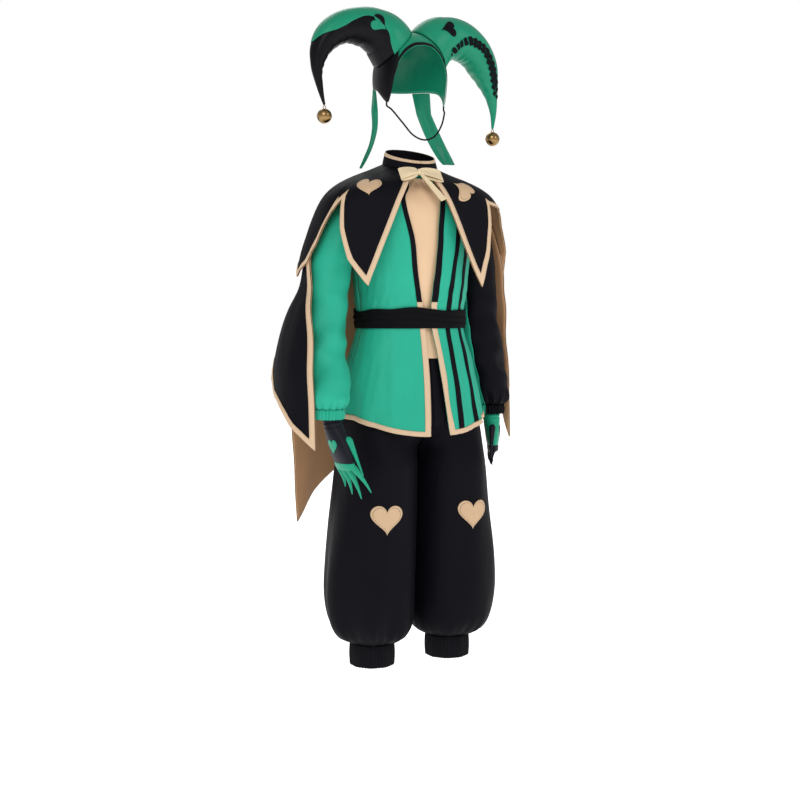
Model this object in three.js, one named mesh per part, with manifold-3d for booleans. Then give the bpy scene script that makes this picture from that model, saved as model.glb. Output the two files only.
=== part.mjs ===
// Jester-like pierrot costume as it is worn: two-horned hood, pointed capelet with a stand
// collar, long pointed cape, belted jacket, full gathered trousers and clawed gloves.
// Millimetres, +Z up. The wearer faces -Y, so the wearer's right is -X.
// Heights are written above the soles of the wearer, and the whole is lowered at the end,
// so that the origin is the base of the neck, where the shoulders carry the costume.
import * as THREE from 'three';
import Module from 'manifold-3d';
import { mergeVertices } from 'three/addons/utils/BufferGeometryUtils.js';

const wasm = await Module();
wasm.setup();

// Driving sizes
const NECK_HEIGHT = 1450;        // base of the neck above the soles
const NECK_TILT = 14;            // the neckline is this much lower in front, higher behind
const NECK_TILT_FROM = 1390;     // the tilt fades out down to this height
const CLOTH = 1.2;               // thickness of one layer of cloth
const LINING = 1.0;
const SEAM = 0.3;                // gap between pieces that are sewn together
const LINING_GAP = 0.6;          // room between a cloth and its lining
const TRIM = 13;                 // width of the gold edge trim
const BINDING = 11;              // width of the jacket's gold binding
const STRIPE = 13.5;             // width of the black stripes and neck bands
const CHEST_HEART = 62;          // width of the hearts on the chest
const LEG_HEART = 76;            // width of the hearts on the trousers
const HORN_HEART = 44;           // width of the hearts on the hat
const BELL_RADIUS = 17;
const LAYER = 9.5;               // room between the capelet and the cape under it
const LAYER_TOP = 3.9;           // the same at the cape's top edge, where it is sewn in

const COLOURS = {
  black: { color: 0x1c1924, roughness: 0.75, metalness: 0 },
  green: { color: 0x3cb699, roughness: 0.6, metalness: 0 },
  satinGreen: { color: 0x1b8a6b, roughness: 0.4, metalness: 0 },
  gold: { color: 0xdcc0a0, roughness: 0.7, metalness: 0 },
  vest: { color: 0xf4d1a9, roughness: 0.6, metalness: 0 },
  lining: { color: 0x9a7a5c, roughness: 0.6, metalness: 0 },
  satin: { color: 0xf4e4c0, roughness: 0.35, metalness: 0 },
  sash: { color: 0x111111, roughness: 0.85, metalness: 0 },
  brass: { color: 0xc9a23a, roughness: 0.25, metalness: 1 },
};

const costume = new THREE.Group();
costume.position.z = -NECK_HEIGHT;

const rad = THREE.MathUtils.degToRad;
const deg = THREE.MathUtils.radToDeg;
const clamp = THREE.MathUtils.clamp;
const lerp = THREE.MathUtils.lerp;
const smooth = (x, low, high) => THREE.MathUtils.smoothstep(x, low, high);
const vec = (x, y, z) => new THREE.Vector3(x, y, z);

// A smooth value from rows sorted by their first column, falling or rising.
function read(table, at, column = 1) {
  const rising = table[table.length - 1][0] > table[0][0];
  const rows = rising ? table : [...table].reverse();
  const last = rows.length - 1;
  if (at <= rows[0][0]) return rows[0][column];
  if (at >= rows[last][0]) return rows[last][column];
  const k = rows.findIndex((row) => row[0] >= at);
  const slope = (i) => {
    const low = Math.max(i - 1, 0);
    const high = Math.min(i + 1, last);
    return (rows[high][column] - rows[low][column]) / (rows[high][0] - rows[low][0]);
  };
  const span = rows[k][0] - rows[k - 1][0];
  const t = (at - rows[k - 1][0]) / span;
  const from = rows[k - 1][column];
  const to = rows[k][column];
  const pull = (2 * t ** 3 - 3 * t ** 2 + 1) * from + (-2 * t ** 3 + 3 * t ** 2) * to;
  return pull + span * ((t ** 3 - 2 * t ** 2 + t) * slope(k - 1) + (t ** 3 - t ** 2) * slope(k));
}

// Straight lines between rows, for hems with sharp points.
function readStraight(table, at) {
  const rows = table[0][0] < table[table.length - 1][0] ? table : [...table].reverse();
  if (at <= rows[0][0]) return rows[0][1];
  const k = rows.findIndex((row) => row[0] >= at);
  if (k < 0) return rows[rows.length - 1][1];
  return lerp(rows[k - 1][1], rows[k][1], (at - rows[k - 1][0]) / (rows[k][0] - rows[k - 1][0]));
}

// Evenly spaced numbers, both ends included.
const steps = (from, to, count) => Array.from({ length: count + 1 }, (_, i) => lerp(from, to, i / count));
const whole = (from, to) => Array.from({ length: to - from + 1 }, (_, i) => from + i);

// The outward normal of a surface(turn, height).
function normalOf(surface, turn, z) {
  const across = surface(turn + 0.4, z).sub(surface(turn - 0.4, z));
  const down = surface(turn, z - 0.8).sub(surface(turn, z + 0.8));
  return across.cross(down).normalize();
}

// A grid of points on a piece of cloth, with the outward normal at each: the surface's own
// where the point gives one, or else that of its neighbours.
function clothGrid(across, down, point, closed = false, normal = null) {
  const points = across.map((u) => down.map((v) => point(u, v)));
  const n = points.length;
  const m = down.length;
  if (normal) {
    const own = across.map((u) => down.map((v) => normal(u, v)));
    return { points, normals: own, closed, across: n, down: m };
  }
  const normals = points.map((column, i) => column.map((_, j) => {
    const left = closed ? points[(i + n - 1) % n][j] : points[Math.max(i - 1, 0)][j];
    const right = closed ? points[(i + 1) % n][j] : points[Math.min(i + 1, n - 1)][j];
    const above = points[i][Math.max(j - 1, 0)];
    const below = points[i][Math.min(j + 1, m - 1)];
    return right.clone().sub(left).cross(below.clone().sub(above)).normalize();
  }));
  // Outward is away from the middle of each row.
  const middles = down.map((_, j) => {
    return points.reduce((sum, column) => sum.add(column[j]), vec(0, 0, 0)).divideScalar(n);
  });
  const lean = points.reduce((sum, column, i) => column.reduce((total, p, j) => {
    return total + normals[i][j].dot(p.clone().sub(middles[j]));
  }, sum), 0);
  if (lean < 0) normals.forEach((column) => column.forEach((way) => way.negate()));
  return { points, normals, closed, across: n, down: m };
}

function geometryOf(corners, faces) {
  const geometry = new THREE.BufferGeometry();
  const places = corners.flatMap((p) => [p.x, p.y, p.z]);
  geometry.setAttribute('position', new THREE.Float32BufferAttribute(places, 3));
  const volume = faces.reduce((sum, [a, b, c]) => {
    return sum + corners[a].dot(corners[b].clone().cross(corners[c]));
  }, 0);
  const turned = volume < 0 ? faces.map(([a, b, c]) => [a, c, b]) : faces;
  geometry.setIndex(turned.flat());
  geometry.computeVertexNormals();
  return geometry;
}

// The wall between two distances from a grid. keep(i, j) picks the cells that are cloth.
function shell(grid, inner, outer, keep = () => true) {
  const corners = [];
  const faces = [];
  const numbers = new Map();
  const corner = (i, j, side) => {
    const column = grid.closed ? i % grid.across : i;
    const key = (column * grid.down + j) * 2 + side;
    if (!numbers.has(key)) {
      numbers.set(key, corners.length);
      const away = side ? outer : inner;
      corners.push(grid.points[column][j].clone().addScaledVector(grid.normals[column][j], away));
    }
    return numbers.get(key);
  };
  const quad = (a, b, c, d) => faces.push([a, b, c], [a, c, d]);
  const cellsAcross = grid.closed ? grid.across : grid.across - 1;
  const cellsDown = grid.down - 1;
  const kept = (i, j) => {
    if (j < 0 || j >= cellsDown) return false;
    if (!grid.closed && (i < 0 || i >= cellsAcross)) return false;
    return keep((i + cellsAcross) % cellsAcross, j);
  };
  for (let i = 0; i < cellsAcross; i += 1) {
    for (let j = 0; j < cellsDown; j += 1) {
      if (!kept(i, j)) continue;
      quad(corner(i, j, 1), corner(i, j + 1, 1), corner(i + 1, j + 1, 1), corner(i + 1, j, 1));
      quad(corner(i, j, 0), corner(i + 1, j, 0), corner(i + 1, j + 1, 0), corner(i, j + 1, 0));
      const edge = (i0, j0, i1, j1) => {
        quad(corner(i1, j1, 1), corner(i0, j0, 1), corner(i0, j0, 0), corner(i1, j1, 0));
      };
      if (!kept(i, j - 1)) edge(i + 1, j, i, j);
      if (!kept(i, j + 1)) edge(i, j + 1, i + 1, j + 1);
      if (!kept(i - 1, j)) edge(i, j, i, j + 1);
      if (!kept(i + 1, j)) edge(i + 1, j + 1, i + 1, j);
    }
  }
  return geometryOf(corners, faces);
}

// A closed stuffed form through the rings of a closed grid, moved out by a distance.
function stuffed(grid, away = 0) {
  const corners = [];
  const faces = [];
  const n = grid.across;
  const last = grid.down - 1;
  grid.points.forEach((column, i) => column.forEach((p, j) => {
    corners.push(p.clone().addScaledVector(grid.normals[i][j], away));
  }));
  const number = (i, j) => (i % n) * grid.down + j;
  const middle = (j) => {
    const sum = grid.points.reduce((total, column) => total.add(column[j]), vec(0, 0, 0));
    corners.push(sum.divideScalar(n));
    return corners.length - 1;
  };
  const first = middle(0);
  const end = middle(last);
  for (let i = 0; i < n; i += 1) {
    for (let j = 0; j < last; j += 1) {
      faces.push([number(i, j), number(i, j + 1), number(i + 1, j + 1)]);
      faces.push([number(i, j), number(i + 1, j + 1), number(i + 1, j)]);
    }
    faces.push([first, number(i, 0), number(i + 1, 0)]);
    faces.push([end, number(i + 1, last), number(i, last)]);
  }
  return geometryOf(corners, faces);
}

function add(name, geometry, look) {
  const mesh = new THREE.Mesh(geometry, new THREE.MeshStandardMaterial(COLOURS[look]));
  mesh.name = name;
  costume.add(mesh);
}

// Cuts and joins
function solidOf(geometry) {
  const bare = geometry.clone();
  bare.deleteAttribute('normal');
  bare.deleteAttribute('uv');
  const merged = mergeVertices(bare, 1e-4);
  return new wasm.Manifold(new wasm.Mesh({
    numProp: 3,
    vertProperties: new Float32Array(merged.attributes.position.array),
    triVerts: new Uint32Array(merged.index.array),
  }));
}

function geometryFrom(solid) {
  const mesh = solid.getMesh();
  const geometry = new THREE.BufferGeometry();
  geometry.setAttribute('position', new THREE.Float32BufferAttribute(mesh.vertProperties, 3));
  geometry.setIndex(Array.from(mesh.triVerts));
  geometry.computeVertexNormals();
  return geometry;
}

function blockSolid(low, high) {
  const size = high.clone().sub(low);
  const block = new THREE.BoxGeometry(size.x, size.y, size.z);
  block.translate((low.x + high.x) / 2, (low.y + high.y) / 2, (low.z + high.z) / 2);
  return solidOf(block);
}

// The draped surfaces. A turn of 0 is the front, 90 the wearer's right, 180 the back.
// Columns: height, half width, depth in front, depth behind, squareness.
const CAPELET = [
  [1484, 66, 60, 64, 2.0],
  [1470, 102, 79, 83, 2.1],
  [1457, 138, 96, 99, 2.2],
  [1440, 174, 110, 112, 2.3],
  [1420, 201, 118, 120, 2.4],
  [1395, 220, 124, 127, 2.4],
  [1360, 236, 129, 133, 2.4],
  [1330, 247, 132, 138, 2.4],
  [1290, 259, 135, 142, 2.4],
  [1250, 269, 137, 146, 2.4],
  [1204, 278, 140, 150, 2.4],
  [1180, 282, 142, 152, 2.4],
];
const CAPE_SHOULDER = CAPELET.filter((row) => row[0] > 1240 && row[0] < 1475).map(
  ([z, a, f, b, n]) => {
    const less = lerp(LAYER, LAYER_TOP, smooth(z, 1430, 1465));
    return [z - less * smooth(z, 1330, 1440), a - less, f - less, b - less, n];
  },
);
const CAPE = [
  ...CAPE_SHOULDER,
  [1200, 269, 131, 139, 2.5],
  [1150, 292, 144, 154, 2.6],
  [1100, 308, 154, 165, 2.7],
  [1020, 326, 162, 173, 2.8],
  [940, 332, 168, 178, 2.8],
  [850, 336, 172, 180, 2.8],
  [740, 339, 174, 182, 2.8],
  [640, 341, 175, 183, 2.8],
];
const JACKET = [
  [1472, 58, 53, 54, 2.0],
  [1452, 90, 65, 64, 2.1],
  [1436, 119, 78, 76, 2.3],
  [1418, 138, 91, 88, 2.4],
  [1386, 149, 104, 106, 2.4],
  [1330, 147, 110, 115, 2.4],
  [1270, 141, 112, 113, 2.4],
  [1200, 133, 107, 106, 2.4],
  [1150, 128, 100, 98, 2.3],
  [1130, 126, 97, 96, 2.3],
  [1100, 129, 99, 99, 2.3],
  [1040, 147, 109, 109, 2.3],
  [980, 161, 118, 118, 2.3],
  [890, 178, 130, 134, 2.3],
  [855, 184, 134, 138, 2.3],
];

const bend = (value, power) => Math.sign(value) * Math.abs(value) ** power;

// A point of a draped surface, at a turn in degrees and a height.
function draped(table, turn, z) {
  const power = 2 / read(table, z, 4);
  const c = Math.cos(rad(turn));
  const s = Math.sin(rad(turn));
  const depth = c > 0 ? read(table, z, 2) : read(table, z, 3);
  const tilt = NECK_TILT * c * smooth(z, NECK_TILT_FROM, 1484);
  return vec(-read(table, z, 1) * bend(s, power), -depth * bend(c, power), z - tilt);
}

// The turn at which a draped surface has a given sideways place, in front.
function turnAt(table, x, z) {
  const share = clamp(Math.abs(x) / read(table, z, 1), 0, 1);
  return -Math.sign(x) * deg(Math.asin(share ** (read(table, z, 4) / 2)));
}

// A panel that hangs from a top line to a pointed hem. Each column keeps its share of the
// way between the two side edges, and the last row and the side columns are the trim's width.
function hangingPanel({ surface, start, end, hem, top, rows, edge, ease }) {
  const shareOf = ([turn, z]) => (turn - start(z)) / (end(z) - start(z));
  const hemShares = hem.map((station) => [shareOf(station), station[1]]);
  const turnOf = (share, z) => {
    const around = end(z) - start(z);
    const ring = surface(start(z), z).distanceTo(surface(start(z) + 1, z));
    const ringEnd = surface(end(z), z).distanceTo(surface(end(z) - 1, z));
    if (share === 'first') return start(z) + edge / ring;
    if (share === 'last') return end(z) - edge / ringEnd;
    return start(z) + around * share;
  };
  const shares = hemShares.map((row) => row[0]);
  shares[0] = 0;
  shares[shares.length - 1] = 1;
  shares.splice(1, 0, 'first');
  shares.splice(shares.length - 1, 0, 'last');
  const endOf = (share) => {
    if (share === 0) return hem[0][1];
    if (share === 1) return hem[hem.length - 1][1];
    if (share !== 'first' && share !== 'last') return readStraight(hemShares, share);
    let z = share === 'first' ? hem[0][1] : hem[hem.length - 1][1];
    for (let k = 0; k < 12; k += 1) {
      const turn = turnOf(share, z);
      z = readStraight(hemShares, (turn - start(z)) / (end(z) - start(z)));
    }
    return z;
  };
  const ends = shares.map(endOf);
  const heightAt = (zEnd, v) => top - (top - zEnd) * v ** ease;
  const tips = shares.map((share, i) => surface(turnOf(share, ends[i]), ends[i]));
  // How far up its column the trim reaches, so that it is as wide as it should be.
  const reach = shares.map((share, i) => {
    const up = ends[i] + 20;
    const column = surface(turnOf(share, up), up).sub(tips[i]).normalize();
    const need = [i - 1, i + 1].filter((k) => k >= 0 && k < tips.length).map((k) => {
      const along = tips[k].clone().sub(tips[i]).normalize();
      return edge / Math.max(column.clone().cross(along).length(), 0.2);
    });
    return Math.max(...need);
  });
  const lengths = shares.map((share, i) => {
    let total = 0;
    for (let k = 0; k < 12; k += 1) {
      const a = heightAt(ends[i], k / 12);
      const b = heightAt(ends[i], (k + 1) / 12);
      total += surface(turnOf(share, a), a).distanceTo(surface(turnOf(share, b), b));
    }
    return total;
  });
  const down = [...steps(0, 1, rows - 1), 2];
  const placeOf = (i, v) => {
    const inner = (1 - Math.min(reach[i] / lengths[i], 0.4)) ** (1 / ease);
    const z = heightAt(ends[i], v > 1 ? 1 : v * inner);
    return [turnOf(shares[i], z), z];
  };
  const columns = shares.map((_, i) => i);
  const onSurface = (i, v) => surface(...placeOf(i, v));
  const grid = clothGrid(columns, down, onSurface, false, (i, v) => normalOf(surface, ...placeOf(i, v)));
  grid.isTrim = (i, j) => j === grid.down - 2 || i === 0 || i === grid.across - 2;
  return grid;
}

function heartOutline(width, count) {
  return steps(0, 360, count).slice(0, count).map((angle) => {
    const t = rad(angle);
    const x = 16 * Math.sin(t) ** 3;
    const y = 13 * Math.cos(t) - 5 * Math.cos(2 * t) - 2 * Math.cos(3 * t) - Math.cos(4 * t) + 2;
    return [x * width / 33, y * width / 33];
  });
}

// A flat shape laid on a surface(u, v) about the place (u0, v0) and turned in its plane. A point
// within the form tells which way is out, where the surface itself doesn't.
function laid(outline, surface, u0, v0, turned, inner, outer, within = null) {
  const across = surface(u0 + 0.5, v0).sub(surface(u0 - 0.5, v0));
  const up = surface(u0, v0 + 0.5).sub(surface(u0, v0 - 0.5));
  const skew = across.dot(up) / across.lengthSq();
  const upright = up.clone().addScaledVector(across, -skew);
  const place = (p, q) => {
    const v = v0 + q / upright.length();
    return [u0 + p / across.length() - (v - v0) * skew, v];
  };
  const normal = ([u, v]) => {
    const du = surface(u + 0.3, v).sub(surface(u - 0.3, v));
    const dv = surface(u, v - 0.3).sub(surface(u, v + 0.3));
    const way = du.cross(dv).normalize();
    return within && way.dot(surface(u, v).sub(within)) < 0 ? way.negate() : way;
  };
  const c = Math.cos(rad(turned));
  const s = Math.sin(rad(turned));
  const spin = ([p, q]) => place(p * c - q * s, p * s + q * c);
  const half = outline.map(([p, q]) => [p / 2, q / 2]);
  const spots = [[0, 0], ...half, ...outline].map(spin);
  const corners = [inner, outer].flatMap((away) => spots.map((spot) => {
    return surface(...spot).addScaledVector(normal(spot), away);
  }));
  const n = outline.length;
  const top = 2 * n + 1;
  const faces = [];
  for (let i = 1; i <= n; i += 1) {
    const next = i === n ? 1 : i + 1;
    const [low, lowNext] = [i + n, next + n];
    faces.push([0, next, i], [i, next, lowNext], [i, lowNext, low]);
    faces.push([top, top + i, top + next], [top + i, top + lowNext, top + next]);
    faces.push([top + i, top + low, top + lowNext]);
    faces.push([low, lowNext, top + lowNext], [low, top + lowNext, top + low]);
  }
  return geometryOf(corners, faces);
}

// Capelet: pointed in front, over each arm and behind, and open down the front.
// Its front edges, as the sideways place at each height.
const CAPELET_EDGE_RIGHT = [[1484, -24], [1442, -58], [1341, -107], [1203, -166]];
const CAPELET_EDGE_LEFT = [[1484, 8], [1440, 16], [1374, 42], [1260, 90], [1203, 120]];
const CAPELET_HEM = [
  [33, 1203], [47, 1262], [57, 1330], [65, 1398], [72, 1368], [80, 1296], [88, 1256],
  [101, 1226], [117, 1272], [131, 1330], [141, 1282], [149, 1235], [156, 1192], [168, 1240],
  [180, 1292], [192, 1240], [204, 1192], [211, 1235], [219, 1282], [229, 1330], [241, 1276],
  [253, 1218], [263, 1242], [270, 1290], [275, 1350], [285, 1386], [300, 1392], [318, 1396],
  [325, 1338], [332, 1270], [338.5, 1203],
];

function makeCapelet() {
  const surface = (turn, z) => draped(CAPELET, turn, z);
  const grid = hangingPanel({
    surface,
    start: (z) => turnAt(CAPELET, read(CAPELET_EDGE_RIGHT, z), z),
    end: (z) => 360 + turnAt(CAPELET, read(CAPELET_EDGE_LEFT, z), z),
    hem: CAPELET_HEM,
    top: 1484,
    rows: 5,
    edge: TRIM,
    ease: 1.45,
  });
  add('capelet', shell(grid, -CLOTH, 0), 'black');
  add('capelet_lining', shell(grid, -CLOTH - LINING_GAP - LINING, -CLOTH - LINING_GAP), 'lining');
  add('capelet_trim', shell(grid, SEAM, SEAM + 1, grid.isTrim), 'gold');
  const heart = heartOutline(CHEST_HEART, 16);
  add('capelet_heart_right', laid(heart, surface, 48, 1429, 0, 0.6, 1.8), 'gold');
  add('capelet_heart_left', laid(heart, surface, 335.5, 1432, 130, 0.6, 1.8), 'gold');
}

// Stand collar on the capelet's neck edge, open in front, with its top binding.
function makeCollar() {
  const COLLAR = [[0, 65.5, 59.5, 63.5], [1, 57, 54, 57]];
  const surface = (turn, share) => {
    const c = Math.cos(rad(turn));
    const low = 1484 + SEAM - NECK_TILT * c;
    const high = 1512 - 19 * c;
    const depth = c > 0 ? read(COLLAR, share, 2) : read(COLLAR, share, 3);
    return vec(-read(COLLAR, share) * Math.sin(rad(turn)), -depth * c, lerp(low, high, share));
  };
  const grid = clothGrid(steps(0.4, 359.6, 20), [1, 0.72, 0], surface);
  add('collar', shell(grid, -CLOTH, 0), 'black');
  add('collar_binding', shell(grid, SEAM, SEAM + 1, (i, j) => j === 0), 'gold');
}

// Long cape under the capelet, open from the outside of one arm round to the other.
const CAPE_HEM = [
  [54, 845], [76, 896], [92, 955], [107, 1020], [121, 975], [134, 925], [140, 890],
  [143, 780], [146, 648], [158, 715], [170, 775], [180, 850], [190, 775], [202, 715],
  [214, 648], [217, 780], [220, 890], [228, 940], [241, 975], [252, 940], [265, 838],
];
const CAPE_EDGE_RIGHT = [[1465, 96], [1300, 92], [1222, 82], [1100, 63], [990, 57], [845, 54]];
const CAPE_EDGE_LEFT = [[1465, 264], [1300, 268], [1150, 266], [838, 265]];
const CAPE_TOP = 1462;
const CAPE_FOLDS = 9;

function capeSurface(turn, z) {
  const p = draped(CAPE, turn, z);
  const left = smooth(-Math.abs(z), -1240, -1060) * smooth(turn, 180, 250);
  p.x *= 1 - 0.115 * left;
  const depth = 9 * smooth(-z, -1300, -700);
  const fade = 1 - 0.7 * smooth(Math.abs(turn - 180), 60, 115);
  const fold = depth * fade * Math.sin(rad(turn * CAPE_FOLDS + 40));
  const out = vec(p.x, p.y, 0).normalize();
  return p.addScaledVector(out, fold);
}

function makeCape() {
  const grid = hangingPanel({
    surface: capeSurface,
    start: (z) => read(CAPE_EDGE_RIGHT, z),
    end: (z) => read(CAPE_EDGE_LEFT, z),
    hem: CAPE_HEM,
    top: CAPE_TOP,
    rows: 6,
    edge: TRIM,
    ease: 1.05,
  });
  add('cape', shell(grid, -CLOTH, 0), 'black');
  add('cape_lining', shell(grid, -CLOTH - LINING_GAP - LINING, -CLOTH - LINING_GAP), 'lining');
  const fromTop = (i, j) => grid.isTrim(i, j) && j > 2;
  add('cape_trim', shell(grid, SEAM * 2, SEAM * 2 + 1, fromTop), 'gold');
}

// Jacket. The armhole is an oval on the side, centred at this height.
const ARMHOLE = { z: 1345, tall: 66, deep: 54 };
const SIDE_GAP = 0.2;
const JACKET_ROWS = [1469, 1452, 1436, 1418, 1411, 1386, 1345, 1304, 1279, 1168, 1120, 1050, 975,
  916, 905];
const HEM_RISE = 40;
// Edges of the fronts and middle lines of the stripes, as the sideways place at each height.
const FRONT_EDGE_RIGHT = [[1476, -26], [1438, -40], [1400, -60], [1308, -43], [1240, -36],
  [1161, -20], [1107, -11], [1037, -9], [870, -16]];
const FRONT_EDGE_LEFT = [[1476, 26], [1420, 31], [1383, 24], [1286, 13], [1240, 9], [1161, 2],
  [1108, 6], [1055, 16], [964, 28], [860, 43]];
const STRIPE_ONE = [[1476, 30], [1452, 50], [1418, 76], [1390, 79], [1290, 67], [1240, 60],
  [1160, 51], [1108, 50], [1013, 60], [860, 68]];
const STRIPE_TWO = [[1476, 38], [1452, 62], [1418, 98], [1390, 106], [1290, 100], [1160, 87],
  [1108, 89], [980, 108], [860, 124]];
const BINDING_TOP = 1168;
const BACK_COLUMNS = 8;

// The turn of the side seam, or of the armhole's edge where the armhole is open.
function sideTurn(z, back) {
  const share = (z - ARMHOLE.z) / ARMHOLE.tall;
  const y = Math.abs(share) < 1 ? ARMHOLE.deep * Math.sqrt(1 - share ** 2) : 0;
  const depth = read(JACKET, z, back ? 3 : 2);
  const off = deg(Math.asin(((y + SIDE_GAP) / depth) ** (read(JACKET, z, 4) / 2)));
  return back ? 90 + off : 90 - off;
}

// The hem is lower in front than at the sides.
const hemHeight = (turn) => 905 - HEM_RISE * Math.max(Math.cos(rad(turn)), 0) ** 2;

function jacketPoint(turn, z, folds = 1) {
  const low = JACKET_ROWS[JACKET_ROWS.length - 1];
  const drop = (hemHeight(turn) - low) * smooth(-z, -1150, -low);
  const p = draped(JACKET, turn, z + drop);
  const flare = folds * 2.5 * smooth(-z, -1090, -920);
  const wave = flare * Math.sin(rad(turn * 14));
  return p.addScaledVector(vec(p.x, p.y, 0).normalize(), wave);
}

const jacketNormal = (turn, z) => normalOf(jacketPoint, turn, z);

// The turns of a front's columns, from its edge to the side.
function frontColumns(edge, z) {
  const lead = turnAt(JACKET, read(edge, z), z);
  const ring = draped(JACKET, 20, z).distanceTo(draped(JACKET, 21, z));
  return { lead, ring };
}

function rightColumn(k, z) {
  const { lead, ring } = frontColumns(FRONT_EDGE_RIGHT, z);
  if (k === 0) return lead;
  if (k === 1) return lead + BINDING / ring;
  return lerp(lead + (STRIPE + 8) / ring, sideTurn(z, false), (k - 2) / 5);
}

function leftColumn(k, z) {
  const { lead, ring } = frontColumns(FRONT_EDGE_LEFT, z);
  const one = turnAt(JACKET, read(STRIPE_ONE, z), z);
  const two = turnAt(JACKET, read(STRIPE_TWO, z), z);
  const w = STRIPE / 2 / ring;
  const side = -sideTurn(z, false);
  return [lead, lead - BINDING / ring, one + w, one - w, lerp(one, two, 0.5), two + w, two - w,
    lerp(two - w, side, 0.36), lerp(two - w, side, 0.7), side][k];
}

function makeJacket() {
  const last = JACKET_ROWS.length - 2;
  const made = (columns, column, rows = JACKET_ROWS) => {
    const at = (k, z) => jacketPoint(column(k, z), z);
    return clothGrid(columns, rows, at, false, (k, z) => jacketNormal(column(k, z), z));
  };
  const right = made(whole(0, 7), rightColumn);
  const left = made(whole(0, 9).reverse(), leftColumn);
  const back = made(whole(0, BACK_COLUMNS), (k, z) => {
    const from = sideTurn(z, true);
    return lerp(from, 360 - from, k / BACK_COLUMNS);
  });
  add('jacket_front_right', shell(right, -CLOTH, 0), 'green');
  add('jacket_front_left', shell(left, -CLOTH, 0), 'green');
  add('jacket_back', shell(back, -CLOTH, 0), 'green');
  // Stripes, bands and binding lie on the columns and the last row of the fronts. The stripes
  // and bands end a seam's gap above the binding.
  const above = JACKET_ROWS.map((z, j) => (z === BINDING_TOP || j === last ? z + SEAM : z));
  const on = (grid, keep) => shell(grid, SEAM, SEAM + 1, keep);
  const isBand = (j) => j > 0 && JACKET_ROWS[j] > BINDING_TOP;
  const isHem = (j) => j === last;
  const onLeft = made(whole(0, 9).reverse(), leftColumn, above);
  const onRight = made(whole(0, 7), rightColumn, above);
  add('jacket_stripe_one', on(onLeft, (i, j) => i === 6 && j > 0 && !isHem(j)), 'black');
  add('jacket_stripe_two', on(onLeft, (i, j) => i === 3 && j > 2 && !isHem(j)), 'black');
  add('jacket_band_right', on(onRight, (i, j) => i === 0 && isBand(j)), 'black');
  add('jacket_band_left', on(onLeft, (i, j) => i === 8 && isBand(j)), 'black');
  const isEdge = (j) => JACKET_ROWS[j] <= BINDING_TOP;
  add('jacket_binding_right', on(right, (i, j) => isHem(j) || (i === 0 && isEdge(j))), 'gold');
  add('jacket_binding_left', on(left, (i, j) => isHem(j) || (i === 8 && isEdge(j))), 'gold');
  add('jacket_binding_back', on(back, (i, j) => isHem(j)), 'gold');
}

// Sleeves. Columns: height, sideways place, forward place, half width, half depth.
const SLEEVE_RIGHT = [
  [1252, -199, 10, 49, 51], [1150, -215, -8, 49, 51],
  [1090, -227, -26, 48, 50], [1030, -236, -50, 47, 50], [985, -242, -76, 46, 49],
  [958, -245, -90, 44, 46], [942, -247, -96, 38, 40], [934, -249, -99, 31, 32],
];
const SLEEVE_LEFT = [
  [1252, 194, 32, 48, 50], [1150, 198, 36, 50, 52],
  [1090, 205, 32, 50, 52], [1030, 214, 27, 50, 51], [980, 223, 23, 49, 50],
  [946, 229, 20, 46, 48], [930, 230, 18, 39, 41], [922, 230, 18, 30, 31],
];
const CAP_STEPS = [0, 0.3, 0.65];
const SLEEVE_FOLDS = 12;

// A point of a sleeve, at a turn about the arm (0 in front, 90 outside) and a row.
// Rows below 0 are the cap from the armhole, the others are the table's.
function sleevePoint(table, side, turn, row) {
  const c = Math.cos(rad(turn));
  const s = Math.sin(rad(turn));
  const ringPoint = ([z, x, y, w, d]) => vec(x + side * w * s, y - d * c, z);
  if (row >= 0) {
    const ring = table[row];
    const gather = smooth(-ring[0], -960, -table[table.length - 1][0]) * 2.2;
    const p = ringPoint(ring);
    const out = vec(p.x - ring[1], p.y - ring[2], 0).normalize();
    return p.addScaledVector(out, gather * Math.sin(rad(turn * SLEEVE_FOLDS)));
  }
  const t = CAP_STEPS[row + CAP_STEPS.length];
  const z = ARMHOLE.z + (ARMHOLE.tall - 1) * s;
  const y = -(ARMHOLE.deep - 1) * c;
  const depth = read(JACKET, z, y > 0 ? 3 : 2);
  const share = clamp(Math.abs(y) / depth, 0, 1) ** read(JACKET, z, 4);
  const x = read(JACKET, z) * (1 - share) ** (1 / read(JACKET, z, 4)) + 1.2;
  const hole = vec(side * x, y, z);
  const ring = ringPoint(table[0]);
  const bow = vec(lerp(hole.x, ring.x, 0.72), (hole.y + ring.y) / 2, hole.z - 18);
  return hole.multiplyScalar((1 - t) ** 2).addScaledVector(bow, 2 * t * (1 - t))
    .addScaledVector(ring, t ** 2);
}

function cuffGrid(z0, z1, x, y, w, d, side, from, to, count, closed) {
  const turns = closed ? steps(from, to, count).slice(0, count) : steps(from, to, count);
  return clothGrid(turns, [z0, z1], (turn, z) => {
    const rib = 0.9 * Math.sin(rad(turn * 9));
    const s = Math.sin(rad(turn));
    return vec(x + side * (w + rib) * s, y - (d + rib) * Math.cos(rad(turn)), z);
  }, closed);
}

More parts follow.
